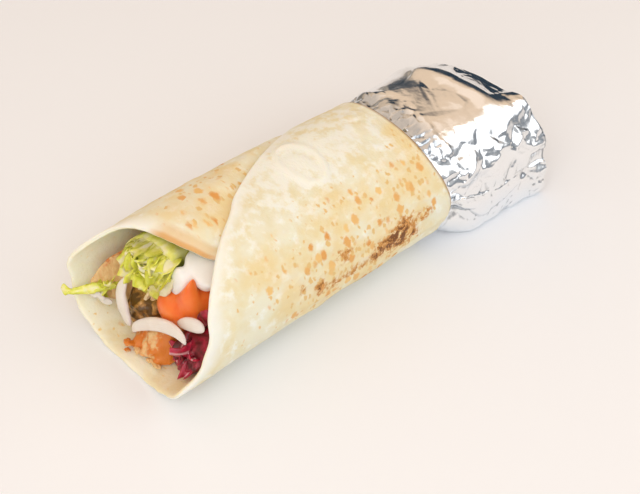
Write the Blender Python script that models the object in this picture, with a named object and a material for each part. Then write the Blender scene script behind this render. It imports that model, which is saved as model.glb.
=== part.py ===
"""A piadina: flatbread rolled round its filling, open at the front, with foil packed round its back end.

The roll lies along X with its mouth at -X and its foil at +X, pressed flat underneath, on z = 0.
Lengths are in millimetres until a mesh is made. An angle round the roll is in degrees: 0 is the
underside, 90 the side at -Y, 180 the top and 270 or -90 the side at +Y. A depth is measured from
the outer face of the roll towards its middle.
"""

import math
import random

import bmesh
import bpy
from mathutils import Vector, noise

MM = 0.001

# The roll's outer face, as (x, half width) and (x, height).
HALF_WIDTHS = ((-125, 44), (-60, 43), (0, 41.5), (45, 41), (85, 42), (120, 43))
HEIGHTS = ((-125, 60), (-90, 63), (-50, 65), (0, 65), (45, 63), (90, 61), (120, 57))
ROUNDNESS = 2.3
PRESSED_FLAT = 1.2

# The bread is one sheet. Its inner end starts under the flap and it ends as the flap's far edge. It goes
# in under the flap at LAP_STARTS degrees, over LAP_TURN degrees and over LAP_RUN mm behind the flap's rim.
BREAD_THICK = 2.4
INNER_END, OUTER_END = -225, 247
LAP_STARTS, LAP_TURN, LAP_RUN = -60, 48, 20
LAP_DEPTH = 3.1
FRONT_RIM = (
    (-225, -60), (-195, -78), (-178, -84), (-160, -89), (-145, -94), (-130, -101), (-115, -113), (-100, -118),
    (-75, -118.5), (-40, -120), (0, -118), (35, -116), (64, -115.5), (85, -105), (102, -99), (123, -93.5),
    (141, -86), (161, -73), (177, -57), (194, -36), (219, -5), (247, 24),
)
BACK_RIM = (
    (-225, 92), (0, 92), (4, 90), (10, 60), (16, 33.3), (26, 33.3), (36, 37), (50, 40), (72, 45), (90, 49),
    (111, 47), (138, 44), (213, 42), (247, 41),
)
RIM_CURL, RIM_CURL_LENGTH, RIM_CURL_FROM, RIM_CURL_TURN = 2.5, 14, -140, 30
BREAD_ROWS, BREAD_COLUMNS, BEND_SHARE = 80, 14, 5 / 7

# The foil's front edge lies between the bread's inner roll and its flap. The inner roll gives it FOIL_ROOM
# from FOIL_ROOM_START behind that edge, and it comes out from under the flap over FOIL_RELEASE.
FOIL_FRONT, FOIL_WALL = 34, 0.8
FOIL_ROOM, FOIL_ROOM_START, FOIL_ROOM_RUN = 1.5, -12, 11
FOIL_RELEASE = 9
FOIL_END_MIDDLE, FOIL_END_SLANT = 107, -0.2
FOIL_SIDES, FOIL_STEPS, FOIL_CAP_SHARES = 44, 13, (0.9, 0.62, 0.32)
FOIL_CREASE, FOIL_CREASE_FROM, FOIL_CREASE_RUN, FOIL_CREASE_INWARD = 1.5, 0.18, 0.2, 0.15
FOIL_CAP_CREASE, FOIL_CAP_BULGE = 2.5, 1.5
FOIL_SQUARE_CORNER, FOIL_SQUARE_FROM, FOIL_SQUARE_RUN = 6, 50, 25
SECTION_MIDDLE = 30

# The filling runs along the roll. Its face at the mouth slants with height, and each piece is a cell of
# the mouth's section: (name, y, z, share, front, dome, lump, lean). A piece starts front mm behind the
# face, bulges by dome and lump, and its face leans by lean mm for each mm of y.
FACE_X, FACE_SLANT = -105, 0.32
FILLING_BACK = 86
MOUTH_X = -95
FILLING_COVER = BREAD_THICK + 0.9
FLAP_ROOM = 0.6
GAP = 0.35
CELL_SIDES, CELL_CORNER = 16, 9
LOG_SHARES, LOG_STATIONS = (0.3, 0.6, 0.85, 1.0), (-72, -30, 10, 28, 38, FILLING_BACK)
LUMP_SCALE, LOG_POINT = 0.22, 3
FILLING = (
    ("lettuce", 17, 41, 330, 1, 6, 0.5, 0),
    ("chicken_left", 34, 25, 75, -5, 7, 0.8, -1.2),
    ("mushroom", 13, 21, 45, 2, 5, 1.0, 0),
    ("chicken_front", -4, 7, 60, 0, 7, 1.0, 0),
    ("radicchio", -26, 12, 90, 3, 5, 0.4, 0),
    ("tomato", -11, 35, 75, 4, 4.5, 0.8, 0),
    ("sauce", -14, 51, 55, 9, 6, 0.3, 0),
    ("side_slice", -28, 43, 0, 11, 4, 0.4, 0),
)

# Loose slices in front of them: (name, width, thickness, finish, path). They face SLICE_FACING.
SLICE_STEPS, SLICE_SIDES, SLICE_FACING = 9, 6, Vector((-1, 0, 0.3))
SLICES = (
    ("onion_upright", 8, 3, "onion",
     ((-102.5, 16.5, 37), (-105, 18.8, 27.5), (-106.5, 16.8, 21), (-107.5, 13.2, 16), (-108, 10.3, 12))),
    ("onion_arc", 7, 2.6, "onion",
     ((-108.5, 7.4, 11), (-107, 5, 16), (-104.4, -3.5, 23.7), (-102.7, -12.2, 29.2), (-101.8, -19.6, 32.1),
      (-101.6, -25, 32.5), (-102, -29, 31))),
    ("onion_end", 7, 2.4, "onion",
     ((-98, -16.8, 31.5), (-96.5, -23.5, 36.2), (-95.3, -30, 39.5), (-94.6, -34, 40.5))),
    ("onion_lip", 5.5, 1.8, "onion",
     ((-113.5, 35.5, 18), (-111.5, 31.5, 18.3), (-109.6, 29, 15.2), (-107, 25.8, 14))),
    ("cabbage_slice", 6, 2, "cabbage", ((-96.2, -1.2, 33.7), (-93.9, -3.6, 41), (-91.6, -6.8, 48))),
    ("lettuce_tip", 5.5, 1.6, "lettuce",
     ((-104, 24.5, 25.5), (-110, 30.5, 23.4), (-116, 34.8, 22.2), (-120.2, 38, 21), (-122, 42, 20),
      (-122.4, 45.5, 18.5))),
    ("radicchio_leaf", 7, 1.5, "radicchio", ((-92.8, -26, 35), (-91, -28.5, 40.5), (-89.5, -31.5, 45.5))),
)

# Leaves that stick out of a filling: (count, their middle y and z, spread in y and z, length, width, seed).
# They are rooted LEAF_ROOT behind the face, each a GOLDEN_TURN on from the last, and splay and curl as drawn.
LEAVES = {
    "lettuce": (13, 18, 41, 16, 13.5, 20, 9, 5),
    "radicchio": (6, -23.5, 17.2, 7, 10, 16, 8, 9),
}
LEAF_ROOT, LEAF_THICK, LEAF_ROWS, LEAF_COLUMNS = 3, 1.2, 6, 2
LEAF_SPREAD, LEAF_SPLAY, LEAF_CURL, LEAF_CUP = 0.8, 0.35, 0.8, 0.25
GOLDEN_TURN = 0.382

COLOURS = {
    "flatbread": ((0.83, 0.66, 0.40), 0.75, 0),
    "foil": ((0.72, 0.73, 0.75), 0.3, 1),
    "lettuce": ((0.50, 0.62, 0.12), 0.5, 0),
    "chicken_left": ((0.72, 0.48, 0.28), 0.6, 0),
    "chicken_front": ((0.80, 0.47, 0.20), 0.6, 0),
    "mushroom": ((0.28, 0.18, 0.09), 0.6, 0),
    "radicchio": ((0.38, 0.02, 0.08), 0.45, 0),
    "tomato": ((0.90, 0.20, 0.04), 0.3, 0),
    "sauce": ((0.86, 0.84, 0.82), 0.35, 0),
    "side_slice": ((0.85, 0.42, 0.16), 0.5, 0),
    "onion": ((0.86, 0.82, 0.76), 0.35, 0),
    "cabbage": ((0.70, 0.74, 0.50), 0.45, 0),
}


def smooth(t):
    """0 below 0 and 1 above 1, with a soft start and end."""
    t = min(max(t, 0.0), 1.0)
    return t * t * (3 - 2 * t)


def along(stations, at):
    """The value at a place on a smooth curve through (place, value) stations."""
    if at <= stations[0][0]:
        return stations[0][1]
    if at >= stations[-1][0]:
        return stations[-1][1]
    i = next(k for k in range(len(stations) - 1) if stations[k + 1][0] >= at)

    def slope(k):
        low, high = stations[max(k - 1, 0)], stations[min(k + 1, len(stations) - 1)]
        return (high[1] - low[1]) / (high[0] - low[0])

    (x0, y0), (x1, y1) = stations[i], stations[i + 1]
    step = x1 - x0
    t = (at - x0) / step
    return (
        (2 * t**3 - 3 * t**2 + 1) * y0
        + (t**3 - 2 * t**2 + t) * step * slope(i)
        + (3 * t**2 - 2 * t**3) * y1
        + (t**3 - t**2) * step * slope(i + 1)
    )


def on_roll(angle, x, depth=0.0, roundness=ROUNDNESS):
    """The point of the roll at this angle, place and depth."""
    sine, cosine = math.sin(math.radians(angle)), math.cos(math.radians(angle))
    half_height = (along(HEIGHTS, x) + PRESSED_FLAT) / 2
    across = math.copysign(abs(sine) ** (2 / roundness), sine)
    up = math.copysign(abs(cosine) ** (2 / roundness), cosine)
    y = -(along(HALF_WIDTHS, x) - depth) * across
    z = half_height - (half_height - depth) * up - PRESSED_FLAT
    return Vector((x, y, max(z, depth)))


# --- Materials and meshes ---


def material_of(name):
    """The food's or foil's own material, made once."""
    if name in bpy.data.materials:
        return bpy.data.materials[name]
    colour, roughness, metallic = COLOURS[name]
    material = bpy.data.materials.new(name)
    material.use_nodes = True
    shader = material.node_tree.nodes["Principled BSDF"]
    shader.inputs["Base Color"].default_value = (*colour, 1)
    shader.inputs["Roughness"].default_value = roughness
    shader.inputs["Metallic"].default_value = metallic
    return material


def object_from(name, points, faces, finish):
    """A smooth-shaded object whose faces point outward."""
    mesh = bpy.data.meshes.new(name)
    mesh.from_pydata([Vector(p) * MM for p in points], [], faces)
    mesh.materials.append(material_of(finish))
    mesh.shade_smooth()
    piece = bpy.data.objects.new(name, mesh)
    bpy.context.scene.collection.objects.link(piece)
    return piece


def sheet(name, rows, columns, point, thick, finish, offset=-1):
    """A thin piece: a grid of point(row share, column share), both faces split into triangles alike."""
    points = [point(i / rows, j / columns) for i in range(rows + 1) for j in range(columns + 1)]
    faces = []
    for i in range(rows):
        for j in range(columns):
            a, b = i * (columns + 1) + j, (i + 1) * (columns + 1) + j
            faces += [(a, a + 1, b + 1), (a, b + 1, b)]
    piece = object_from(name, points, faces, finish)
    wall = piece.modifiers.new("wall", "SOLIDIFY")
    wall.thickness = thick * MM
    wall.offset = offset
    wall.use_even_offset = True
    return piece


def loft(name, rings, tips, finish):
    """A closed piece through rings of equal count, with a point at each end."""
    count = len(rings[0])
    points = [p for ring in rings for p in ring] + list(tips)
    first, last = len(points) - 2, len(points) - 1
    end = (len(rings) - 1) * count
    faces = []
    for j in range(count):
        after = (j + 1) % count
        faces += [(first, after, j), (last, end + j, end + after)]
        for a in range(0, end, count):
            b = a + count
            faces += [(a + j, a + after, b + after), (a + j, b + after, b + j)]
    piece = object_from(name, points, faces, finish)
    face_outward(piece.data)
    return piece


def face_outward(mesh):
    """Turns every face of a closed mesh outward."""
    build = bmesh.new()
    build.from_mesh(mesh)
    bmesh.ops.recalc_face_normals(build, faces=build.faces)
    if build.calc_volume(signed=True) < 0:
        bmesh.ops.reverse_faces(build, faces=build.faces)
    build.to_mesh(mesh)
    build.free()


def fused(piece, extras):
    """Joins the extras to the piece by one Boolean union, applied, and removes them."""
    group = bpy.data.collections.new(piece.name + "_parts")
    for extra in extras:
        group.objects.link(extra)
    union = piece.modifiers.new("union", "BOOLEAN")
    union.operation = "UNION"
    union.operand_type = "COLLECTION"
    union.collection = group
    union.solver = "EXACT"
    graph = bpy.context.evaluated_depsgraph_get()
    joined = bpy.data.meshes.new_from_object(piece.evaluated_get(graph))
    piece.modifiers.clear()
    piece.data = joined
    joined.shade_smooth()
    for extra in extras:
        bpy.data.objects.remove(extra)
    bpy.data.collections.remove(group)
    return piece


# --- Flatbread ---


def lap(angle):
    """How far the sheet has gone in under the flap: 0 outside, 1 inside."""
    return smooth((LAP_STARTS - angle) / LAP_TURN)


def foil_room(x):
    """0 in front of the foil and 1 behind its front edge."""
    return smooth((x - FOIL_FRONT - FOIL_ROOM_START) / FOIL_ROOM_RUN)


def front_rim(angle):
    """Where the bread's front edge lies: a lip below, and the flap sweeping back over the top."""
    return along(FRONT_RIM, angle)


def bread_depth(angle, x):
    """The sheet's outer face: under the flap, inside the foil, and curled in at the inner front rim."""
    inside_foil = 1 - smooth((angle - 20) / 12)
    under_flap = smooth((x - front_rim(min(angle + 360, OUTER_END))) / LAP_RUN + 1)
    near_rim = 1 - smooth((x - front_rim(angle)) / RIM_CURL_LENGTH)
    curl = RIM_CURL * near_rim * smooth((RIM_CURL_FROM - angle) / RIM_CURL_TURN)
    return LAP_DEPTH * lap(angle) * under_flap + FOIL_ROOM * foil_room(x) * inside_foil + curl


def make_flatbread():
    """The rolled sheet. Its columns crowd together behind the foil's front edge."""

    def point(round_share, back_share):
        angle = INNER_END + (OUTER_END - INNER_END) * round_share
        front, back = front_rim(angle), along(BACK_RIM, angle)
        bend = min(FOIL_FRONT - 1, front + (back - front) * BEND_SHARE)
        if back_share < BEND_SHARE:
            x = front + (bend - front) * back_share / BEND_SHARE
        else:
            x = bend + (back - bend) * (back_share - BEND_SHARE) / (1 - BEND_SHARE)
        return on_roll(angle, x, bread_depth(angle, x))

    return sheet("flatbread", BREAD_ROWS, BREAD_COLUMNS, point, BREAD_THICK, "flatbread")


# --- Foil ---


def foil_lap(angle):
    """1 where the foil runs under the flap and over the inner roll, 0 under the roll."""
    turned = (angle + 180) % 360 - 180
    return lap(turned) if turned < 0 else smooth((turned - 16) / 14)


def foil_depth(angle, x):
    """The foil's outer face before it is crumpled: it comes out from under the flap behind its rim."""
    turned = (angle + 90) % 360 - 90
    released = smooth((x - along(BACK_RIM, max(turned, 30)) - 1) / FOIL_RELEASE)
    return LAP_DEPTH * foil_lap(angle) * (1 - released)


def foil_end(y):
    """The folded end is a flat wall, slanting back towards -Y."""
    return FOIL_END_MIDDLE + FOIL_END_SLANT * y


def foil_point(angle, back_share, inward):
    """A point of the foil tube. The corner underneath at -Y spreads square on the floor."""
    square = FOIL_SQUARE_CORNER * (0 < angle % 360 < 90)
    x = FOIL_FRONT
    for _ in range(3):
        spread = ROUNDNESS + square * smooth((x - FOIL_SQUARE_FROM) / FOIL_SQUARE_RUN)
        depth = foil_depth(angle, x) + inward
        place = on_roll(angle, x, depth, spread)
        x = FOIL_FRONT + (foil_end(place.y) - inward - FOIL_FRONT) * back_share
    return on_roll(angle, x, depth, spread)


def crumpled(place, share, draw):
    """A point of the foil's outer face pushed in or out by a crease, more of it away from the front edge."""
    loose = smooth((share - FOIL_CREASE_FROM) / FOIL_CREASE_RUN)
    outward = (place - Vector((place.x, 0, SECTION_MIDDLE))).normalized()
    moved = place + outward * FOIL_CREASE * loose * (draw.random() - FOIL_CREASE_INWARD)
    moved.z = max(moved.z, 0)
    return moved


def make_foil():
    """The foil: an inner and an outer tube from the front edge, and the folded end that closes both."""
    draw = random.Random(11)
    outer, inner = [], []
    for k in range(FOIL_STEPS + 1):
        share = k / FOIL_STEPS
        angles = [360 * (j + 0.5 * (k % 2)) / FOIL_SIDES for j in range(FOIL_SIDES)]
        outer.append([crumpled(foil_point(angle, share, 0), share, draw) for angle in angles])
        inner.append([foil_point(angle, share, FOIL_WALL) for angle in angles])
    middle = Vector((foil_end(0), 0, SECTION_MIDDLE - 2))
    tips = [middle - Vector((FOIL_WALL, 0, 0)), middle + Vector((FOIL_CAP_BULGE, 0, 0))]
    for share in FOIL_CAP_SHARES:
        ring = [middle.lerp(p, share) for p in outer[FOIL_STEPS]]
        for p in ring:
            p.x = foil_end(p.y) + draw.uniform(0, FOIL_CAP_CREASE) * (1 - share**4)
        flat = [middle.lerp(p, share) for p in inner[FOIL_STEPS]]
        for p in flat:
            p.x = foil_end(p.y) - FOIL_WALL
        outer.append(ring)
        inner.append(flat)
    return loft("foil", inner[::-1] + outer, tips, "foil")


# --- Filling ---


def filling_depth(angle):
    """How deep the filling's outer face lies in the mouth's section, clear of the bread round it."""
    turned = (angle + 60) % 360 - 60
    under_flap = smooth((turned - 116) / 14) * (1 - smooth((turned - 252) / 48))
    return FILLING_COVER + under_flap * (LAP_DEPTH + FLAP_ROOM + RIM_CURL)


def reach_to_bread(y, z, way):
    """How far a ray from (y, z) goes in the mouth's section before it meets the bread's room."""
    half_width = along(HALF_WIDTHS, MOUTH_X)
    half_height = (along(HEIGHTS, MOUTH_X) + PRESSED_FLAT) / 2
    near, far = 0.0, 100.0
    for _ in range(18):
        middle = (near + far) / 2
        at_y, at_z = y + way[0] * middle, z + way[1] * middle
        above = at_z + PRESSED_FLAT - half_height
        depth = filling_depth(math.degrees(math.atan2(-at_y, -above)))
        across = abs(at_y) / (half_width - depth)
        up = abs(above) / (half_height - depth)
        inside = across**ROUNDNESS + up**ROUNDNESS < 1 and at_z > depth
        near, far = (middle, far) if inside else (near, middle)
    return near


def cell_reach(piece, way):
    """A piece reaches to its neighbours' walls, or to the bread, with its corners rounded."""
    y, z, share = piece[1:4]
    limits = [reach_to_bread(y, z, way)]
    for other in FILLING:
        towards = Vector((other[1] - y, other[2] - z))
        distance = towards.length
        if distance == 0:
            continue
        facing = towards.dot(Vector(way)) / distance
        if facing > 0.05:
            wall = (distance * distance + share - other[3]) / (2 * distance) - GAP / 2
            limits.append(wall / facing)
    return sum(limit**-CELL_CORNER for limit in limits) ** (-1 / CELL_CORNER)


def at_station(y, z, x):
    """A point of the mouth's section carried along the roll to x, keeping its share of the room."""

    def room(place):
        tight = FILLING_COVER + 1.3 * FOIL_ROOM * foil_room(place)
        return along(HALF_WIDTHS, place) - tight, tight, along(HEIGHTS, place) - tight - LAP_DEPTH

    wide, low, high = room(x)
    wide_0, low_0, high_0 = room(MOUTH_X)
    return Vector((x, y * wide / wide_0, low + (z - low_0) * (high - low) / (high_0 - low_0)))


def face_at(z, front):
    """The x of the mouth's slanting face at this height, this far back."""
    return FACE_X + FACE_SLANT * z + front


def make_log(piece):
    """One filling that runs through the roll, with a rounded, lumpy front end."""
    name, y, z, _, front, dome, lump, lean = piece
    ways = [Vector((math.cos(turn), math.sin(turn))) for turn in turns_of(CELL_SIDES)]
    edge = [way * cell_reach(piece, way) for way in ways]

    def face_point(across, up, share):
        at_y, at_z = y + across * share, z + up * share
        bump = lump * 3 * noise.noise(Vector((at_y, at_z, len(name))) * LUMP_SCALE)
        x = face_at(at_z, front) + lean * (at_y - y) + dome * (share**3 - 1) + bump * (1 - share**6)
        return at_station(at_y, at_z, x)

    rings = [[face_point(across, up, share) for across, up in edge] for share in LOG_SHARES]
    rings += [[at_station(y + across, z + up, x) for across, up in edge] for x in LOG_STATIONS]
    tips = (at_station(y, z, face_at(z, front) - dome), at_station(y, z, FILLING_BACK + LOG_POINT))
    return loft(name, rings, tips, name)


def turns_of(sides):
    """The turns, in radians, to each corner of a polygon with this many sides."""
    return [math.tau * j / sides for j in range(sides)]


def make_crescent(name, path, width, thick, finish):
    """A curved slice: a flattened tube along a path, wide in the middle and narrow at its ends."""
    rings = []
    spots = [path_point(path, k / SLICE_STEPS) for k in range(SLICE_STEPS + 1)]
    for k in range(1, SLICE_STEPS):
        ahead = spots[k + 1] - spots[k - 1]
        side = ahead.cross(SLICE_FACING).normalized()
        outward = side.cross(ahead).normalized()
        size = math.sin(math.pi * k / SLICE_STEPS) ** 0.5
        wide, deep = side * width / 2 * size, outward * thick / 2 * size
        flat = [wide * math.cos(turn) + deep * math.sin(turn) for turn in turns_of(SLICE_SIDES)]
        rings.append([spots[k] + way for way in flat])
    return loft(name, rings, (spots[0], spots[-1]), finish)


def path_point(path, share):
    """A point on the smooth curve through the path's points."""
    places = [i / (len(path) - 1) for i in range(len(path))]
    return Vector([along([(s, p[axis]) for s, p in zip(places, path)], share) for axis in range(3)])


def make_shred(name, start, way, size, curl, turn, finish):
    """A strip of leaf that starts inside the filling, runs out along a way and curls over."""
    length, width = size
    side = way.cross(Vector((math.cos(turn), 0.3, math.sin(turn)))).normalized()
    over = side.cross(way)

    def point(along_share, across_share):
        bend = curl * along_share**2
        ahead = way * length * along_share * (1 - 0.3 * abs(bend))
        spread = width * (0.75 + 0.25 * math.sin(math.pi * along_share)) * (across_share - 0.5)
        cup = width * LEAF_CUP * math.cos(math.tau * (across_share - 0.5 + 0.35 * along_share))
        return start + ahead + side * spread + over * (length * bend / 2 + cup)

    return sheet(name, LEAF_ROWS, LEAF_COLUMNS, point, LEAF_THICK, finish, offset=0)


def leafy(piece, front):
    """Fuses a cluster of curling leaves to the front of a filling whose face starts this far back."""
    count, y, z, spread_y, spread_z, length, width, seed = LEAVES[piece.name]
    draw = random.Random(seed)
    shreds = []
    for k in range(count):
        turn = math.tau * k * GOLDEN_TURN
        out = ((k + 0.5) / count) ** 0.5
        at_y = y + spread_y * out * math.cos(turn) * LEAF_SPREAD
        at_z = z + spread_z * out * math.sin(turn) * LEAF_SPREAD
        start = Vector((face_at(at_z, front + LEAF_ROOT), at_y, at_z))
        splay_y = LEAF_SPLAY * math.cos(turn) * draw.uniform(0.4, 1)
        splay_z = LEAF_SPLAY * math.sin(turn) * draw.uniform(0.4, 1)
        way = Vector((-1, splay_y, splay_z)).normalized()
        size = (length * draw.uniform(0.7, 1), width * draw.uniform(0.7, 1))
        curl, roll = draw.uniform(-LEAF_CURL, LEAF_CURL), draw.uniform(0, math.pi)
        shreds.append(make_shred(f"shred_{k}", start, way, size, curl, roll, piece.name))
    return fused(piece, shreds)


def make_filling():
    """The pieces that run through the roll, two of them leafy in front, and the loose slices."""
    for piece in FILLING:
        log = make_log(piece)
        if log.name in LEAVES:
            leafy(log, piece[4])
    for name, width, thick, finish, path in SLICES:
        make_crescent(name, path, width, thick, finish)


def centre(pieces):
    """Carries every piece on one empty, moved so that the box round them all is centred on the origin."""
    graph = bpy.context.evaluated_depsgraph_get()
    spots = [vertex.co for piece in pieces for vertex in piece.evaluated_get(graph).data.vertices]
    middle_x = (min(p.x for p in spots) + max(p.x for p in spots)) / 2
    middle_y = (min(p.y for p in spots) + max(p.y for p in spots)) / 2
    carrier = bpy.data.objects.new("piadina", None)
    bpy.context.scene.collection.objects.link(carrier)
    for piece in pieces:
        piece.parent = carrier
    carrier.location = (-middle_x, -middle_y, 0)


for old in list(bpy.data.objects):
    bpy.data.objects.remove(old)
make_flatbread()
make_foil()
make_filling()
centre([piece for piece in bpy.data.objects if piece.type == "MESH"])
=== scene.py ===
"""A piadina on a pale table: griddled flatbread rolled round salad, chicken and sauce, its end in foil."""

import math
import random

import bmesh
import bpy
import numpy as np
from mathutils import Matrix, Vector, geometry, noise


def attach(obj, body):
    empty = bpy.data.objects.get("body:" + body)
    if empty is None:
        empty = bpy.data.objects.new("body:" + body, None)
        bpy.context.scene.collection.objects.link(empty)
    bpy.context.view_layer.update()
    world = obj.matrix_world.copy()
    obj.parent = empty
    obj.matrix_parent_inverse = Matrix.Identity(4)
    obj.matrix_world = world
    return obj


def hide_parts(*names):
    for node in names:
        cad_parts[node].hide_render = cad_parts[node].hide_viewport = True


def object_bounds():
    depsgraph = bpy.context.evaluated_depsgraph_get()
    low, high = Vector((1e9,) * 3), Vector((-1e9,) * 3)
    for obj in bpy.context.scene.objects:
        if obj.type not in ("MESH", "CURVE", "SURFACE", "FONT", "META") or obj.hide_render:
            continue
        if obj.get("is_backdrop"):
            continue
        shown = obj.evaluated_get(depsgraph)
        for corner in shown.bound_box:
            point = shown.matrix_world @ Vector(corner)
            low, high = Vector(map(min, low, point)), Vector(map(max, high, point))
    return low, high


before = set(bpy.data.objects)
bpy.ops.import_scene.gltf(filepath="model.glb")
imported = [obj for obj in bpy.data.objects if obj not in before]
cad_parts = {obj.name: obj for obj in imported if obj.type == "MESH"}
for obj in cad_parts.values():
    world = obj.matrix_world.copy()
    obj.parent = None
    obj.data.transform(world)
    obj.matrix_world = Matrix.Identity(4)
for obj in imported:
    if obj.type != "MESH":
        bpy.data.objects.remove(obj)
cad_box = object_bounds()

# The table, the light and the camera.
# A white laminate table top under three soft panels. The camera is a short telephoto that looks down
# past the open mouth along the roll.

MM = 0.001  # metres
ROLL_AXIS = Vector((3.66, -0.92, 0))  # where the roll's own axis crosses the frame's origin plane, mm


def linear(colour):
    """An sRGB hex colour as linear red, green, blue and alpha."""
    parts = [int(colour[i : i + 2], 16) / 255 for i in (1, 3, 5)]
    return [p / 12.92 if p <= 0.04045 else ((p + 0.055) / 1.055) ** 2.4 for p in parts] + [1.0]


def add(tree, kind, inputs=None, **settings):
    """Adds a node with its settings. An input is a value, a hex colour, or a socket or node to link from.

    Sockets go by name or number. A colour Mix has its share at 0 and its colours at 6 and 7. A Map Range
    has its value at 0, and goes from the range 1 to 2 to the range 3 to 4, which is 0 to 1 unless given.
    """
    made = tree.nodes.new("ShaderNode" + kind)
    for name, value in settings.items():
        setattr(made, name, value)
    for name, value in (inputs or {}).items():
        if isinstance(value, bpy.types.Node):
            value = next(socket for socket in value.outputs if socket.enabled)
        if isinstance(value, bpy.types.NodeSocket):
            tree.links.new(value, made.inputs[name])
        else:
            made.inputs[name].default_value = linear(value) if isinstance(value, str) else value
    return made


def new_material(name):
    """An empty material and its node tree."""
    material = bpy.data.materials.new(name)
    material.use_nodes = True
    material.node_tree.nodes.clear()
    return material, material.node_tree


def look_from(azimuth, elevation, distance):
    """A point at this distance, azimuth and height, azimuth 0 being at -Y."""
    turn, rise = math.radians(azimuth), math.radians(elevation)
    flat = math.cos(rise) * distance
    return Vector((math.sin(turn) * flat, -math.cos(turn) * flat, math.sin(rise) * distance))


VIEW_AZIMUTH, VIEW_ELEVATION, VIEW_DISTANCE = -39.6, 47, 592  # degrees, degrees and mm
VIEW_TARGET = Vector((-17.9, -20.4, 30)) + ROLL_AXIS
camera = bpy.data.objects.new("camera", bpy.data.cameras.new("camera"))
camera.data.lens, camera.data.sensor_width = 70, 36
camera.data.clip_start = 0.01
away = look_from(VIEW_AZIMUTH, VIEW_ELEVATION, VIEW_DISTANCE)
camera.location = (VIEW_TARGET + away) * MM
camera.rotation_euler = (-away).to_track_quat("-Z", "Y").to_euler()
bpy.context.scene.collection.objects.link(camera)
bpy.context.scene.camera = camera
bpy.context.scene.view_settings.view_transform = "Standard"

TABLE_REACH = 4.0  # metres from its middle to each side
table_mesh = bpy.data.meshes.new("table")
corners = [(x * TABLE_REACH, y * TABLE_REACH, 0) for x, y in ((-1, -1), (1, -1), (1, 1), (-1, 1))]
table_mesh.from_pydata(corners, [], [(0, 1, 2, 3)])
table = bpy.data.objects.new("table", table_mesh)
bpy.context.scene.collection.objects.link(table)
table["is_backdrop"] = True
table_finish, tree = new_material("white_laminate")
shader = add(tree, "BsdfPrincipled", {"Base Color": "#F0F2F5", "Roughness": 0.6})
add(tree, "OutputMaterial", {0: shader})
table_mesh.materials.append(table_finish)


def soft_panel(name, azimuth, elevation, distance, size, power, colour):
    """A square light panel that faces the roll: angles in degrees, distance and size in metres, watts."""
    light = bpy.data.lights.new(name, "AREA")
    light.shape, light.size, light.energy = "SQUARE", size, power
    light.color = linear(colour)[:3]
    panel = bpy.data.objects.new(name, light)
    place = look_from(azimuth, elevation, distance)
    panel.location = place
    panel.rotation_euler = (-place).to_track_quat("-Z", "Y").to_euler()
    bpy.context.scene.collection.objects.link(panel)


soft_panel("panel_key", -48, 40, 1.4, 1.3, 8.4, "#FAFCFF")
soft_panel("panel_front", 40, 39, 1.3, 1.15, 4.0, "#FFFFFF")
soft_panel("panel_above", -150, 70, 1.5, 2.6, 4.4, "#F8FAFF")

# The room that the foil mirrors: grey in front, warm and pale high up behind, and dark low down in the
# corner behind the foil.
world = bpy.data.worlds.new("studio")
bpy.context.scene.world = world
world.use_nodes = True
tree = world.node_tree
tree.nodes.clear()
sky = add(tree, "SeparateXYZ", {0: add(tree, "TexCoord").outputs["Generated"]})
to_back = add(tree, "MapRange", {0: sky.outputs[1], 1: -0.42, 2: -0.06}, interpolation_type="SMOOTHSTEP")
to_right = add(tree, "MapRange", {0: sky, 1: 0.5, 2: 0.62}, interpolation_type="SMOOTHSTEP")
corner = add(tree, "Math", {0: to_back, 1: to_right}, operation="MULTIPLY")
above = add(tree, "Math", {0: corner, 1: -0.34, 2: sky.outputs[2]}, operation="MULTIPLY_ADD")
height = add(tree, "MapRange", {0: above, 1: 0.1, 2: 0.36}, interpolation_type="SMOOTHSTEP")
dim = add(tree, "Mix", {0: corner, 6: "#948C82", 7: "#2E3C48"}, data_type="RGBA")
low = add(tree, "Mix", {0: to_back, 6: "#8F949A", 7: dim}, data_type="RGBA")
high = add(tree, "Mix", {0: to_back, 6: "#BEBFC1", 7: "#EACEB1"}, data_type="RGBA")
walls = add(tree, "Mix", {0: height, 6: low, 7: high}, data_type="RGBA")
backdrop = add(tree, "Background", {0: walls, 1: 1.0})
add(tree, "OutputWorld", {0: backdrop})

# The flatbread.
# A round of unleavened dough, rolled out thin and baked on a griddle, so it is pale and floury with
# golden and brown spots and a few flat blisters. It is rolled up once and a quarter, its outer flap
# swept back over the top.

# The roll without its laps, in mm: x and half its width, x and its height. Its section is a squared-off
# oval, and its weight presses the underside flat.
HALF_WIDTHS = ((-125, 44), (-60, 43), (0, 41.5), (45, 41), (85, 42), (120, 43))
HEIGHTS = ((-125, 60), (-90, 63), (-50, 65), (0, 65), (45, 63), (90, 61), (120, 57))
ROUNDNESS, PRESSED_FLAT = 2.3, 1.2
BREAD_THICK = 2.4
# The sheet's own ends, in degrees round the roll from its underside, and where it goes in under its
# flap: from this angle, over this turn, this deep, and over this run from the flap's rim.
INNER_END, OUTER_END = -225, 247
LAP_STARTS, LAP_TURN, LAP_DEPTH, LAP_RUN = -60, 48, 3.1, 20
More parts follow.
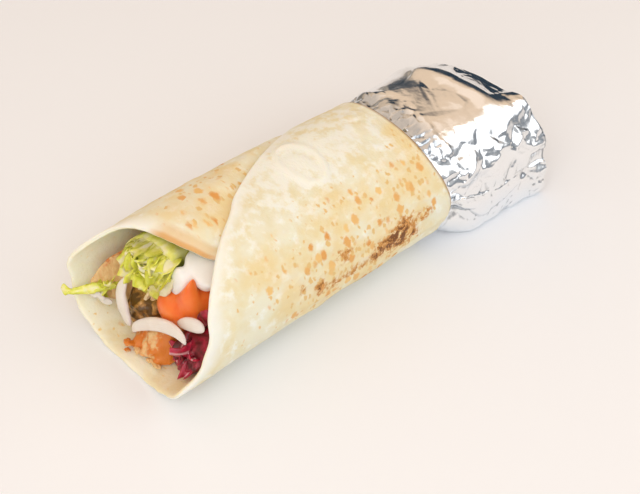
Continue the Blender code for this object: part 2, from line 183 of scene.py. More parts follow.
# Each rim of the sheet: an angle, and the x where the rim lies there.
FRONT_RIM = ((-225, -60), (-195, -78), (-178, -84), (-160, -89), (-145, -94), (-130, -101), (-115, -113),
             (-100, -118), (-75, -118.5), (-40, -120), (0, -118), (35, -116), (64, -115.5), (85, -105),
             (102, -99), (123, -93.5), (141, -86), (161, -73), (177, -57), (194, -36), (219, -5), (247, 24))
BACK_RIM = ((-225, 92), (0, 92), (4, 90), (10, 60), (16, 33.3), (26, 33.3), (36, 37), (50, 40), (72, 45),
            (90, 49), (111, 47), (138, 44), (213, 42), (247, 41))
RIM_CURL, RIM_CURL_LENGTH = 2.5, 14  # how far the inner flap's front rim curls in, and over what length
FOIL_FRONT, FOIL_ROOM, FOIL_PRESSED = 34, 1.5, 3.3  # where the foil starts, and how it presses the sheet in


def smooth(t):
    """0 below 0 and 1 above 1, with a soft start and end."""
    t = np.clip(t, 0.0, 1.0)
    return t * t * (3 - 2 * t)


def along(stations, at):
    """The values at these places on a smooth curve through (place, value) stations."""
    places, values = np.array(stations, float).T
    slopes = np.gradient(values)
    slopes[1:-1] = (values[2:] - values[:-2]) / (places[2:] - places[:-2])
    slopes[0] = (values[1] - values[0]) / (places[1] - places[0])
    slopes[-1] = (values[-1] - values[-2]) / (places[-1] - places[-2])
    at = np.clip(at, places[0], places[-1])
    i = np.clip(np.searchsorted(places, at, side="right") - 1, 0, len(places) - 2)
    step = places[i + 1] - places[i]
    t = (at - places[i]) / step
    start, end = (2 * t**3 - 3 * t**2 + 1) * values[i], (3 * t**2 - 2 * t**3) * values[i + 1]
    return start + (t**3 - 2 * t**2 + t) * step * slopes[i] + end + (t**3 - t**2) * step * slopes[i + 1]


def on_roll(angle, x, depth, roundness=ROUNDNESS):
    """Points of the roll at these angles, places and depths: 0 is the underside and 90 is at -Y."""
    sine, cosine = np.sin(np.radians(angle)), np.cos(np.radians(angle))
    half_height = (along(HEIGHTS, x) + PRESSED_FLAT) / 2
    y = -(along(HALF_WIDTHS, x) - depth) * np.sign(sine) * np.abs(sine) ** (2 / roundness)
    up = np.sign(cosine) * np.abs(cosine) ** (2 / roundness)
    z = half_height - (half_height - depth) * up - PRESSED_FLAT
    x, y, z, depth = np.broadcast_arrays(x, y, z, depth)
    return np.stack([x, y, np.maximum(z, depth)], axis=-1)


def lap(angle):
    """How far the sheet has gone in under the flap: 0 outside, 1 inside."""
    return smooth((LAP_STARTS - angle) / LAP_TURN)


def foil_room(x):
    """0 in front of the foil and 1 behind its front edge."""
    return smooth((x - FOIL_FRONT + 12) / 11)


def front_rim(angle):
    """Where the bread's front edge lies."""
    return along(FRONT_RIM, angle)


def bread_depth(angle, x):
    """The sheet's outer face: under the flap, inside the foil, and curled in at the inner front rim."""
    inside_foil = 1 - smooth((angle - 20) / 12)
    under_flap = smooth((x - front_rim(np.minimum(angle + 360, OUTER_END))) / LAP_RUN + 1)
    near_rim = 1 - smooth((x - front_rim(angle)) / RIM_CURL_LENGTH)
    curl = RIM_CURL * near_rim * smooth((-140 - angle) / 30)
    pressed = FOIL_ROOM * foil_room(x) + FOIL_PRESSED * smooth((x - FOIL_FRONT) / 8)
    return LAP_DEPTH * lap(angle) * under_flap + pressed * inside_foil + curl


def normals_of(grid):
    """Unit normals of a grid of points, to the left of its rows."""
    out = np.cross(np.gradient(grid, axis=0), np.gradient(grid, axis=1))
    return out / np.maximum(np.linalg.norm(out, axis=-1, keepdims=True), 1e-9)


def grain(points, size, seed=0):
    """Smooth noise from -1 to 1 at these points, in lumps of this size in mm."""
    flat = points.reshape(-1, 3) / size + seed * 17.3
    return np.array([noise.noise(p) for p in flat.tolist()]).reshape(points.shape[:-1])


def grid_faces(rows, columns, wrap=False):
    """Quads over a grid of points, joined to itself along its columns if wrap is set."""
    i, j = np.meshgrid(np.arange(rows - 1), np.arange(columns if wrap else columns - 1), indexing="ij")
    after = (j + 1) % columns
    corners = (i * columns + j, (i + 1) * columns + j, (i + 1) * columns + after, i * columns + after)
    return np.stack(corners, axis=-1).reshape(-1, 4).tolist()


def sheet_faces(rows, columns):
    """The faces of a sheet with a grid of points on each side, closed round its edges."""
    count = rows * columns
    quads = grid_faces(rows, columns)
    faces = quads + [[d + count, c + count, b + count, a + count] for a, b, c, d in quads]
    ring = [i * columns for i in range(rows)] + [(rows - 1) * columns + j for j in range(1, columns)]
    ring += [i * columns + columns - 1 for i in range(rows - 2, -1, -1)] + list(range(columns - 2, 0, -1))
    return faces + [[a + count, b + count, b, a] for a, b in zip(ring, ring[1:] + ring[:1])]


def mesh_piece(name, points, faces, finish, solid, marks):
    """A smooth piece that rides on the body in a solid's place. Each mark gives every point a value."""
    mesh = bpy.data.meshes.new(name)
    mesh.from_pydata((np.array(points) + np.array(ROLL_AXIS)) * MM, [], faces)
    for mark, values in marks.items():
        values = np.array(values, float)
        kind = "FLOAT_VECTOR" if values.ndim == 2 else "FLOAT"
        layer = mesh.attributes.new(mark, kind, "POINT")
        layer.data.foreach_set("vector" if values.ndim == 2 else "value", values.reshape(-1))
    build = bmesh.new()
    build.from_mesh(mesh)
    bmesh.ops.recalc_face_normals(build, faces=build.faces)
    build.to_mesh(mesh)
    build.free()
    mesh.materials.append(finish)
    mesh.shade_smooth()
    piece = bpy.data.objects.new(name, mesh)
    bpy.context.scene.collection.objects.link(piece)
    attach(piece, "root")
    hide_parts(solid)
    return piece


SHEET_RADIUS = 38.0  # of the roll as it is taken for distances along the sheet, mm


def on_sheet(angle):
    """How far along the sheet an angle round the roll lies, in mm."""
    return np.radians(angle) * SHEET_RADIUS


bread_finish, tree = new_material("griddled_dough")

AROUND, LENGTHWISE = 360, 134
RIM_STEPS, RIM_BAND = (0, 0.35, 0.8, 1.4, 2.2), 3.0  # rows of points in from a rim, closer where it rounds
ROUNDED, FLUSH = 2.0, 3.0  # mm from an edge where its rounding ends, and where blisters are full height
angles = np.linspace(INNER_END, OUTER_END, AROUND)[:, None]
wander = [noise.noise((at / 24, 3.1, 0)) + 0.5 * noise.noise((at / 9, 7.7, 0)) for at in angles[:, 0]]
fronts, backs = front_rim(angles) + 1.1 * np.array(wander)[:, None], along(BACK_RIM, angles)
edge = np.array(RIM_STEPS)[None, :]
shares = np.linspace(0, 1, LENGTHWISE - 2 * len(RIM_STEPS))[None, :]
between = fronts + RIM_BAND + (backs - fronts - 2 * RIM_BAND) * shares
places = np.concatenate([fronts + edge, between, backs - edge[:, ::-1]], axis=1)
angles = np.broadcast_to(angles, places.shape)
middle = on_roll(angles, places, bread_depth(angles, places) + BREAD_THICK / 2)
outward = -normals_of(middle)
arc = on_sheet(angles)
sheet = np.stack([arc, places, np.zeros_like(places)], axis=-1)
from_front, from_back = places - fronts, backs - places
from_side = np.minimum(angles - INNER_END, OUTER_END - angles) * 0.65  # mm of sheet to a degree
from_edge = np.minimum(np.minimum(from_front, from_back), from_side)
body = np.sqrt(np.clip(1 - (1 - np.clip(from_edge / ROUNDED, 0, 1)) ** 2, 0.02, 1)) * BREAD_THICK / 2

# Low swellings and blisters: an angle, an x, a radius and a height. Five large ones, then a scatter.
swell = 0.45 * grain(sheet, 26, 1) + 0.22 * grain(sheet, 9, 2) + 0.07 * grain(sheet, 3.2, 3)
SCATTER = ((-190, 240), (-105, 40), (2.5, 5.5), (0.15, 0.4))
draw = random.Random(4)
blisters = [(180, -13, 7.5, 0.5), (181, 28, 6, 0.35), (144, 27, 5, 0.4), (120, 5, 4.5, 0.4),
            (150, -40, 6, 0.3)]
blisters += [[draw.uniform(*limits) for limits in SCATTER] for _ in range(70)]
for at_angle, at_x, radius, rise in blisters:
    near = np.hypot(arc - on_sheet(at_angle), places - at_x)
    swell += rise * (1 - smooth((near - radius * 0.55) / (radius * 0.6)))
# One burst blister left a raised oval ring on top.
ring_blister = np.exp(-(((np.hypot(0.76 * (arc - on_sheet(183)), places + 11) - 9.0) / 1.5) ** 2))
swell += 0.8 * ring_blister
# Creases run along the near side, where the sheet was pulled over the filling.
crease_band = smooth((angles - 50) / 22) * (1 - smooth((angles - 108) / 16)) * smooth((places + 70) / 30)
crease = 1 - np.abs(grain(np.stack([arc, places * 0.22, 0 * arc + 5], axis=-1), 7.0, 4)) * 2.6
swell += crease_band * 0.7 * np.clip(crease, 0, 1) ** 2
# The inner flap's rim is doubled over on top, with a groove behind the fold.
doubled = smooth((angles + 208) / 14) * (1 - smooth((angles + 172) / 14))
swell -= 0.6 * doubled * np.exp(-(((from_front - 7.5) / 0.9) ** 2))
flush = smooth(from_edge / FLUSH)
outer = middle + outward * (body + swell * flush)[..., None]
inner = middle - outward * (body - 0.12 * grain(sheet, 5, 6) * flush)[..., None]
outer[..., 2] = np.maximum(outer[..., 2], 0.0)


def add_patches(field, patches):
    """Adds soft patches to a field over the sheet: an angle, an x, mm round, mm along and a strength."""
    for at_angle, at_x, wide, long, strength in patches:
        reach = ((arc - on_sheet(at_angle)) / wide) ** 2 + ((places - at_x) / long) ** 2
        field += strength * np.exp(-reach)


# How much of the sheet the griddle browned, least near the front rim and along the top. The broad patch on
# the inner flap is partly painted shade.
toast = 0.43 + 0.3 * grain(sheet, 30, 8)
add_patches(toast, (
    (134, -62, 12, 12, 0.5), (112, -54, 14, 12, 0.6), (95, -38, 12, 12, 0.7), (103, -18, 12, 9, 0.6),
    (114, -16, 32, 42, 0.62), (183, -52, 14, 9, 0.6), (190, -72, 12, 12, 0.4), (92, 8, 14, 20, 0.7),
    # The patch at -152 is griddle browning and painted shade, where the outer flap shades the inner flap.
    (70, -20, 14, 40, 0.5), (-152, -50, 28, 28, 0.68), (-90, -20, 25, 60, 0.5), (-30, 0, 30, 80, 0.6),
    (-177, -60, 14, 9, 0.5), (-172, -74, 12, 10, 0.3), (152, 34, 22, 14, 0.6), (120, 28, 18, 14, 0.55),
    (140, 0, 14, 22, 0.35)))
toast -= 0.9 * (1 - smooth(from_front / 14)) * (angles > 60)
on_top = smooth((angles - 150) / 20) * (1 - smooth((angles - 215) / 20))
toast -= 0.5 * on_top * (1 - smooth((places - 20) / 20))
# The scorch marks, most of them along the near side.
scorch = np.zeros_like(places)
add_patches(scorch, (
    (92, 11, 6.5, 8, 1.2), (102, 19, 5, 6, 0.6), (90, -1, 5, 5, 0.75), (91, -36, 4.5, 4, 0.8),
    (88, -27, 3, 5, 0.6), (87, -14, 3, 8, 0.6), (99, 31, 4, 6, 0.6), (85, 22, 5, 6, 0.6),
    (100, -46, 4, 3, 0.55), (106, -20, 5, 6, 0.6), (-100, -40, 6, 9, 0.7)))

# The marks give the outer face first and then the inner face, which shows in the mouth; its far wall is
# whitened with painted light. The front rim and the top are floury, the doubled rim's fold is beige with
# painted shade and its edge is baked, and the cut back edge has a dark brown line.
bare = np.zeros_like(places)
dust = 1.2 * ring_blister + np.exp(-(((arc - on_sheet(192)) / 24) ** 2 + ((places + 12) / 45) ** 2))
# Painted light: the far wall of the inner face is whitened to make up for the shade it lies in.
far_wall_painted_light = smooth((angles + 165) / 25) * (1 - smooth((angles + 70) / 30))
marks = {
    "sheet_mm": np.concatenate([sheet.reshape(-1, 3), sheet.reshape(-1, 3) + (0, 0, 40)]),
    "toast": np.append(toast, 0.5 * toast + 0.45),
    "scorch": np.append(scorch, bare),
    "rim": np.tile(1 - smooth((from_front - 2) / 9).ravel(), 2),
    "dust": np.tile(dust.ravel(), 2),
    # inside is 1 on the inner face and up to 1.33 on the far wall, for its painted light.
    "inside": np.append(bare, 1 + 0.33 * far_wall_painted_light),
    # Painted shade: the fold band of the doubled rim is beige where the outer flap shades it.
    "fold": np.append(doubled * (1 - smooth((from_front - 6.5) / 1.5)), bare),
    "edge": np.append(doubled * (1 - smooth((from_front - 1.2) / 2.0)), bare),
    "back_edge": np.append((angles > 30) * (1 - smooth((from_back - 0.9) / 1.1)), bare),
}
points = np.concatenate([outer.reshape(-1, 3), inner.reshape(-1, 3)])
faces = sheet_faces(*places.shape)
mesh_piece("flatbread_sheet", points, faces, bread_finish, "flatbread", marks)

# Griddled dough: matt flour-dusted skin, cream where it touched nothing and golden to brown in spots
# where the blisters touched the griddle. It scatters light softly, so its shadows stay warm.
SPOT_SPACING = 5.6  # mm between griddle spots
sheet_mm = add(tree, "Attribute", attribute_name="sheet_mm").outputs["Vector"]
toasted, scorched, rim, dusty, inside, fold, fold_edge, back_edge = [
    add(tree, "Attribute", attribute_name=mark).outputs["Fac"]
    for mark in ("toast", "scorch", "rim", "dust", "inside", "fold", "edge", "back_edge")]
cloud = add(tree, "TexNoise", {"Vector": sheet_mm, "Scale": 1 / 16, "Detail": 3.0, "Roughness": 0.55})
flour = add(tree, "TexNoise", {"Vector": sheet_mm, "Scale": 1 / 7, "Detail": 4.0, "Roughness": 0.6})
floury = add(tree, "Math", {0: dusty, 1: 0.2, 2: flour}, operation="MULTIPLY_ADD")
warm = add(tree, "MapRange", {0: cloud, 1: 0.38, 2: 0.66}, interpolation_type="SMOOTHSTEP")
dough = add(tree, "Mix", {0: warm, 6: "#EBE5CB", 7: "#E7DAB0"}, data_type="RGBA")
pale = add(tree, "MapRange", {0: floury, 1: 0.5, 2: 0.7, 4: 0.8}, interpolation_type="SMOOTHSTEP")
ragged = add(tree, "TexNoise", {"Vector": sheet_mm, "Scale": 1 / 2.2, "Detail": 2.0})
shifted = add(tree, "VectorMath", {0: ragged.outputs[1], 1: (0.5, 0.5, 0.5)}, operation="SUBTRACT")
shifted = add(tree, "VectorMath", {0: shifted, 1: (2.6, 2.6, 0.0), 2: sheet_mm}, operation="MULTIPLY_ADD")
stretched = add(tree, "VectorMath", {0: shifted, 1: (0.72, 1.15, 1.0)}, operation="MULTIPLY")


def griddle_spots(spacing, largest, seed):
    """How browned a point is by a scatter of round spots, and a random number for its spot."""
    moved = add(tree, "VectorMath", {0: stretched, 1: (seed, seed * 2.0, 0.0)}, operation="ADD")
    cells = add(tree, "TexVoronoi", {"Vector": moved, "Scale": 1 / spacing, "Randomness": 0.9})
    chance = add(tree, "SeparateColor", {0: cells.outputs["Color"]})
    size = add(tree, "Math", {0: chance, 1: toasted}, operation="MULTIPLY")
    size = add(tree, "MapRange", {0: size, 1: 0.12, 2: 1.0, 3: 0.0, 4: largest})
    gap = add(tree, "Math", {0: size, 1: cells.outputs["Distance"]}, operation="SUBTRACT")
    brown = add(tree, "MapRange", {0: gap, 1: 0.0, 2: 0.22}, interpolation_type="SMOOTHSTEP")
    return brown.outputs["Result"], chance.outputs["Green"]


spots, hue = griddle_spots(SPOT_SPACING, largest=0.5, seed=0.0)
specks, _ = griddle_spots(SPOT_SPACING * 0.5, largest=0.54, seed=31.0)
spot_colour = add(tree, "Mix", {0: hue, 6: "#EFC984", 7: "#DE984A"}, data_type="RGBA")
baked = add(tree, "Math", {0: toasted, 1: cloud}, operation="MULTIPLY")
glow = add(tree, "MapRange", {0: baked, 1: 0.28, 2: 0.8, 4: 0.55}, interpolation_type="SMOOTHSTEP")
char_edge = add(tree, "TexNoise", {"Vector": shifted, "Scale": 1 / 3.6, "Detail": 4.0, "Roughness": 0.7})
patchy = add(tree, "MapRange", {0: char_edge, 1: 0.34, 2: 0.64})
char = add(tree, "Math", {0: scorched, 1: patchy}, operation="MULTIPLY")
brown = add(tree, "MapRange", {0: char, 1: 0.12, 2: 0.38}, interpolation_type="SMOOTHSTEP")
black = add(tree, "MapRange", {0: char, 1: 0.36, 2: 0.62, 4: 0.92}, interpolation_type="SMOOTHSTEP")
rim, fold, fold_edge, back_edge, steamy = [
    add(tree, "Math", {0: mark, 1: share}, operation="MULTIPLY")
    for mark, share in ((rim, 0.85), (fold, 0.75), (fold_edge, 0.8), (back_edge, 0.75), (inside, 0.75))]
steamed = add(tree, "Mix", {0: warm, 6: "#F7F1D6", 7: "#ECDCAA"}, data_type="RGBA")
inner_specks = add(tree, "Math", {0: specks, 1: inside}, operation="MULTIPLY")
# Painted light: the far wall of the inner face is whitened.
far_wall_painted_light = add(tree, "MapRange", {0: inside, 1: 1.0, 2: 1.33, 4: 0.6})
# The coats over the dough: flour, the baked tint, specks, spots, scorched brown and black, then the rims and
# edges, where the fold's beige is painted shade. The inner face comes last: steamed, with its own specks, and
# its far wall whitened with painted light.
finished = dough
for share, colour in (
    (pale, "#F4F4EA"), (glow, "#EDCF90"), (specks, "#E4C080"), (spots, spot_colour),
    (brown, "#CE9048"), (black, "#6F3D1C"),
    (rim, "#F3F2E7"), (fold, "#E6C791"), (fold_edge, "#DCA45C"), (back_edge, "#93602F"),
    (steamy, steamed), (inner_specks, "#EED08A"), (far_wall_painted_light, "#FBFBEA"),
):
    finished = add(tree, "Mix", {0: share, 6: finished, 7: colour}, data_type="RGBA")
fine = add(tree, "TexNoise", {"Vector": sheet_mm, "Scale": 1 / 1.3, "Detail": 3.0})
relief = add(tree, "Math", {0: fine, 1: flour}, operation="ADD")
bump = add(tree, "Bump", {"Height": relief, "Strength": 0.35, "Distance": 0.0006})
shader = add(tree, "BsdfPrincipled", {
    "Base Color": finished, "Roughness": 0.62, "Specular IOR Level": 0.35, "Normal": bump,
    "Subsurface Weight": 0.3, "Subsurface Scale": 0.003, "Subsurface Radius": (1.0, 0.75, 0.45)})
add(tree, "OutputMaterial", {0: shader})

# The foil.
# A square of kitchen foil wrapped round the back end over the inner roll, its front edge tucked under
# the flap and its end folded in like a parcel. Hands have pressed it into flat facets and sharp creases.

FOIL_RELEASE = 9  # mm behind the flap in which the foil springs out to its full size
FOIL_END_MIDDLE, FOIL_END_SLANT = 107, -0.2  # the x of the folded end, and its slant over the width
FOIL_SQUARE_CORNER = 6  # how much squarer than the roll the corner underneath is
FOIL_THICK, LINING_DEPTH = 0.8, 4.2  # from outside to inside, at the front edge and under the creases
SECTION_MIDDLE = 28  # height of the middle of the folded end, mm
# Creases from the longest to the finest: whether they run on the slant, their size each way in mm and a
# seed. Then their depth all over, and what the near side, back end, far side and rim add to it.
CREASES = (
    (True, (8, 30), 21, 0.4, 2.2, 0.5, 0.4, 0.0),
    (False, (8, 10), 22, 0.35, 0.5, 0.4, 0.5, 0.0),
    (True, (3.2, 11), 25, 0.05, 1.2, 0.7, 0.2, 0.9),
    (False, (2.2, 2.8), 23, 0.03, 0.25, 0.22, 0.1, 0.8),
)
CREASE_REACH, CREASE_SUNK = 3.3, 0.7  # creases stay this close to a level this far under the plain foil


def loft(rings, tips):
    """The points and faces of a closed piece through rings of points, with a tip at each end."""
    steps, sides = rings.shape[:2]
    points = np.concatenate([rings.reshape(-1, 3), tips])
    first, last = len(points) - 2, len(points) - 1
    faces = grid_faces(steps, sides, wrap=True)
    end = (steps - 1) * sides
    faces += [[first, (j + 1) % sides, j] for j in range(sides)]
    faces += [[last, end + j, end + (j + 1) % sides] for j in range(sides)]
    return points, faces


def foil_end(y):
    """The folded end is a flat wall, slanting back towards -Y."""
    return FOIL_END_MIDDLE + FOIL_END_SLANT * y


def foil_point(angle, back_share, inward):
    """Points of the foil tube. The corner underneath at -Y spreads square on the table."""
    turned = (angle + 180) % 360 - 180
    lapped = np.where(turned < 0, lap(turned), smooth((turned - 16) / 14))
    seen = (angle + 90) % 360 - 90
    behind_rim = along(BACK_RIM, np.maximum(seen, 30)) + 1
    x = np.full(np.broadcast(angle, back_share).shape, float(FOIL_FRONT))
    for _ in range(4):  # until it settles where the slanted end lies
        released = smooth((x - behind_rim) / FOIL_RELEASE)
        spread = ROUNDNESS + FOIL_SQUARE_CORNER * (angle % 360 < 90) * smooth((x - 50) / 25)
        place = on_roll(angle, x, LAP_DEPTH * lapped * (1 - released) + inward, spread)
        x = FOIL_FRONT + (foil_end(place[..., 1]) - inward - FOIL_FRONT) * back_share
    place[..., 0] = x
    return place


def crumpled(across, down, size, seed):
    """Heights from -1 to 1 at each place on a sheet crumpled into flat facets of this size, in mm."""
    draw = random.Random(seed)
    low = (across.min() - size[0], down.min() - size[1])
    high = (across.max(), down.max())
    counts = [int((end - start) / cell) + 3 for end, start, cell in zip(high, low, size)]
    corners = [Vector((low[0] + (i + draw.random()) * size[0], low[1] + (j + draw.random()) * size[1]))
               for i in range(-1, counts[0]) for j in range(-1, counts[1])]
    heights = [draw.uniform(-1, 1) for _ in corners]
    spots, _, triangles, origins, _, _ = geometry.delaunay_2d_cdt(corners, [], [], 0, 1e-6)
    step = 0.35  # mm between the table's own places
    table = np.zeros([int(count * cell / step) + 2 for count, cell in zip(counts, size)])
    for triangle in triangles:
        ends = [[(spots[k][axis] - low[axis]) / step for axis in (0, 1)] for k in triangle]
        (ax, ay), (bx, by), (cx, cy) = ends
        at_a, at_b, at_c = [heights[origins[k][0]] for k in triangle]
        area = (bx - ax) * (cy - ay) - (cx - ax) * (by - ay)
        rows, columns = [np.arange(max(math.floor(min(side)), 0), min(math.ceil(max(side)) + 1, limit))
                         for side, limit in zip(zip(*ends), table.shape)]
        if abs(area) < 1e-6 or not len(rows) or not len(columns):
            continue
        u = ((rows[:, None] - ax) * (cy - ay) - (cx - ax) * (columns[None, :] - ay)) / area
        v = ((bx - ax) * (columns[None, :] - ay) - (rows[:, None] - ax) * (by - ay)) / area
        inside = (u >= -1e-9) & (v >= -1e-9) & (u + v <= 1 + 1e-9)
        part = table[rows[0] : rows[-1] + 1, columns[0] : columns[-1] + 1]
        part[inside] = (at_a + u * (at_b - at_a) + v * (at_c - at_a))[inside]
    row, column = (across - low[0]) / step, (down - low[1]) / step
    i, j = row.astype(int), column.astype(int)
    u, v = row - i, column - j
    near = table[i, j] * (1 - v) + table[i, j + 1] * v
    return near * (1 - u) + (table[i + 1, j] * (1 - v) + table[i + 1, j + 1] * v) * u


foil_finish, tree = new_material("kitchen_foil")
AROUND, LENGTHWISE, CAP_RINGS = 400, 150, 56
# Rows of points lie evenly round the parcel, measured on its section three quarters of the way back.
fine_angles = np.linspace(0, 360, 3601)
section = foil_point(fine_angles[:, None], np.array([[0.75]]), 0.0)[:, 0, 1:]
lengths = np.append(0, np.cumsum(np.linalg.norm(np.diff(section, axis=0), axis=1)))
even = np.linspace(0, lengths[-1], AROUND + 1)
angles = np.interp(even, lengths, fine_angles)[:, None]
shares = np.linspace(0, 1, LENGTHWISE)[None, :]
tube = foil_point(angles, shares, 0.0)
arc, along_x = np.broadcast_arrays(even[:, None], tube[..., 0])
around = np.broadcast_to(angles, arc.shape)

# From 0 to 1: how much a point is on the near side, the far side, the back end and the band behind the
# flap's rim, and how free it is to crease. It is held flat under the flap.
near_side = smooth((around - 8) / 20) * (1 - smooth((around - 122) / 34))
far_side = smooth((around - 212) / 22) * (1 - smooth((around - 335) / 20))
back_end = smooth((along_x - foil_end(tube[..., 1]) + 15) / 12)
behind = along_x - along(BACK_RIM, np.maximum((around + 90) % 360 - 90, 30))
rim_wrinkles = (1 - smooth((behind - 4) / 14)) * (1 - near_side)
loose = smooth((along_x - FOIL_FRONT - 2) / 6) * np.where(around < 30, 1, smooth((behind - 0.5) / 3))

straight, slant = (arc, along_x), ((arc - along_x) * 0.707, (arc + along_x) * 0.707)
relief = np.zeros_like(arc)
for on_slant, size, seed, everywhere, near, end, far, rim in CREASES:
    depth = everywhere + near * near_side + end * back_end + far * far_side + rim * rim_wrinkles
    relief += crumpled(*(slant if on_slant else straight), size, seed) * depth
# The near side spreads where it meets the table, and is pressed in above that.
low = smooth((along_x - 46) / 8) * near_side
relief += low * (1.6 * smooth((7 - tube[..., 2]) / 7) - 2.4 * smooth(tube[..., 2] / 26)) + 0.2 * near_side
# The far top bulges before the end, and slopes down to the fold. The rim's foil is pushed up in a roll.
from_end = foil_end(tube[..., 1]) - along_x
far_top = smooth((around - 148) / 20) * (1 - smooth((around - 255) / 25))
relief += far_top * (1.5 * np.exp(-(((from_end - 18) / 5.0) ** 2)) - 0.29 * np.clip(14 - from_end, 0, 14))
tucked = smooth((around - 150) / 12) * (1 - smooth((around - 192) / 12))
relief += tucked * 1.2 * np.exp(-(((behind - 2.5) / 2.6) ** 2))
relief = (CREASE_REACH * np.tanh((relief + CREASE_SUNK) / CREASE_REACH) - CREASE_SUNK) * loose
blend = smooth((around - 340) / 18)  # the last rows meet the first
relief = relief * (1 - blend) + blend * relief[0][None, :]
outward = -normals_of(tube)
outward[0] = outward[-1] = (outward[0] + outward[-1]) / 2
shell = (tube + outward * relief[..., None])[:-1]
shell[..., 2] = np.maximum(shell[..., 2], 0.0)

# The lining, and the end folded in with pleats that turn towards its middle.
lining_shares = np.linspace(0, 1, 24)[None, :]
inward = FOIL_THICK + (LINING_DEPTH - FOIL_THICK) * smooth((lining_shares - 0.02) / 0.1)
lining = foil_point(angles[:-1], lining_shares, inward)
cap_middle = np.array([foil_end(0.0), 0.0, SECTION_MIDDLE])
cap_share = np.linspace(1, 0.02, CAP_RINGS)[1:]
caps = cap_middle + (shell[:, -1:] - cap_middle) * cap_share[None, :, None]
pleats = np.abs(((angles[:-1] + 30 * cap_share[None, :]) % 40) / 20 - 1)
end_face = (caps[..., 1], caps[..., 2])
pressed = crumpled(*end_face, size=(9, 11), seed=31) + 0.5 * crumpled(*end_face, size=(4, 5), seed=32)
folded = 1 - cap_share[None, :] ** 4
caps[..., 0] = foil_end(caps[..., 1]) + folded * (0.8 + 1.0 * pleats * cap_share[None, :] + 0.9 * pressed)
whole = np.concatenate([lining[:, ::-1], shell, caps], axis=1)
rings = whole.transpose(1, 0, 2)
tips = np.array([lining[:, -1].mean(axis=0), rings[-1].mean(axis=0)])
points, faces = loft(rings, tips)

# Marks for the painted shade in the foil's colour: how hollow the foil is at a point, and how steeply it
# faces down round the roll.
hollow = np.zeros_like(relief)
for reach in (1, 2):
    for way in ((reach, 0), (-reach, 0), (0, reach), (0, -reach)):
        hollow += (np.roll(relief, way, (0, 1)) - relief) / reach
down = np.gradient(relief, axis=0) / np.gradient(arc, axis=0)
before_shell = lining.shape[1] * AROUND
marks = {"foil_mm": points}
# Painted shade: the band behind the flap's rim gets a fixed share of darkening as well.
for mark, field, shade in (("hollow", hollow, 0.0), ("downward", down, 0.62)):
    shown = field * np.maximum(near_side, 0.8 * rim_wrinkles) + shade * rim_wrinkles
    marks[mark] = np.zeros(len(points))
    marks[mark][before_shell : before_shell + LENGTHWISE * AROUND] = shown[:-1].T.ravel()
foil = mesh_piece("foil_wrap", points, faces, foil_finish, "foil", marks)
foil.data.set_sharp_from_angle(angle=math.radians(24))

# Aluminium foil, rolled to a mirror on its bright side: a bare metal whose flat facets reflect the room, a
# little hazed where handling has scuffed it. Creases, facets that face down and the foil close to the flap
# have painted shade in their base colour, standing in for the way they mirror each other and the shade
# between them.
foil_place = add(tree, "Attribute", attribute_name="foil_mm").outputs["Vector"]
scuff = add(tree, "TexNoise", {"Vector": foil_place, "Scale": 1 / 9, "Detail": 3.0})
haze = add(tree, "MapRange", {0: scuff, 1: 0.35, 2: 0.7, 3: 0.1, 4: 0.22})
wave = add(tree, "TexNoise", {"Vector": foil_place, "Scale": 1 / 5, "Detail": 2.0})
bump = add(tree, "Bump", {"Height": wave, "Strength": 0.2, "Distance": 0.0006})
hollow, downward = [
    add(tree, "Attribute", attribute_name=mark).outputs["Fac"] for mark in ("hollow", "downward")]
# Painted shade in the base colour: facets that face down and the hollows of the creases are darker.
shaded = add(tree, "MapRange", {0: downward, 1: 0.05, 2: 0.75, 4: 0.75}, interpolation_type="SMOOTHSTEP")
crease_shade = add(tree, "MapRange", {0: hollow, 1: 0.15, 2: 0.9, 4: 0.7}, interpolation_type="SMOOTHSTEP")
facet = add(tree, "Mix", {0: shaded, 6: "#F6F7F8", 7: "#A9B1BA"}, data_type="RGBA")
metal = add(tree, "Mix", {0: crease_shade, 6: facet, 7: "#767D86"}, data_type="RGBA")
shader = add(tree, "BsdfPrincipled", {
    "Base Color": metal, "Metallic": 1.0, "Roughness": haze, "Normal": bump})
add(tree, "OutputMaterial", {0: shader})

# The lettuce.
# Iceberg lettuce cut in ribbons, the palest at the rib. It fills the top of the roll at +Y, and its
# ribbons curl out of the mouth. One tip lies out over the bread's lip.

# The mouth's face slants back as it rises. The fillings run from it to their back end, with a gap
# between neighbours, and are laid out in the section at this x.
FACE_X, FACE_SLANT, FILLING_BACK, GAP = -105, 0.32, 86, 0.35
MOUTH_X = -95
FILLING_COVER = BREAD_THICK + 0.9  # from the roll's outer face to the filling
FLAP_ROOM = 0.6
LEAF_THICK, TIP_THICK = 0.9, 1.1
OUT_OF_MOUTH = (-1, 0, 0.3)
SHARPNESS = 9.0  # of the corners where fillings meet
# Each filling that runs through the roll: its middle in the section, its share of the room in mm2, how
# far back its front lies, how far it domes, how lumpy it is and how it leans.
CELLS = {
    "lettuce": (17, 41, 330, 1, 6, 0.5, 0),
    "chicken_left": (34, 25, 75, -5, 7, 0.8, -1.2),
    "mushroom": (13, 21, 45, 2, 5, 1.0, 0),
    "chicken_front": (-4, 7, 60, 0, 7, 1.0, 0),
    "radicchio": (-26, 12, 90, 3, 5, 0.4, 0),
    "tomato": (-11, 35, 75, 4, 4.5, 0.8, 0),
    "sauce": (-14, 51, 55, 9, 6, 0.3, 0),
    "side_slice": (-28, 43, 0, 11, 4, 0.4, 0),
}


def filling_depth(angle):
    """How deep the filling's outer face lies in the mouth's section, clear of the bread round it."""
    turned = (angle + 60) % 360 - 60
    under_flap = smooth((turned - 116) / 14) * (1 - smooth((turned - 252) / 48))
    return FILLING_COVER + under_flap * (LAP_DEPTH + FLAP_ROOM + RIM_CURL)


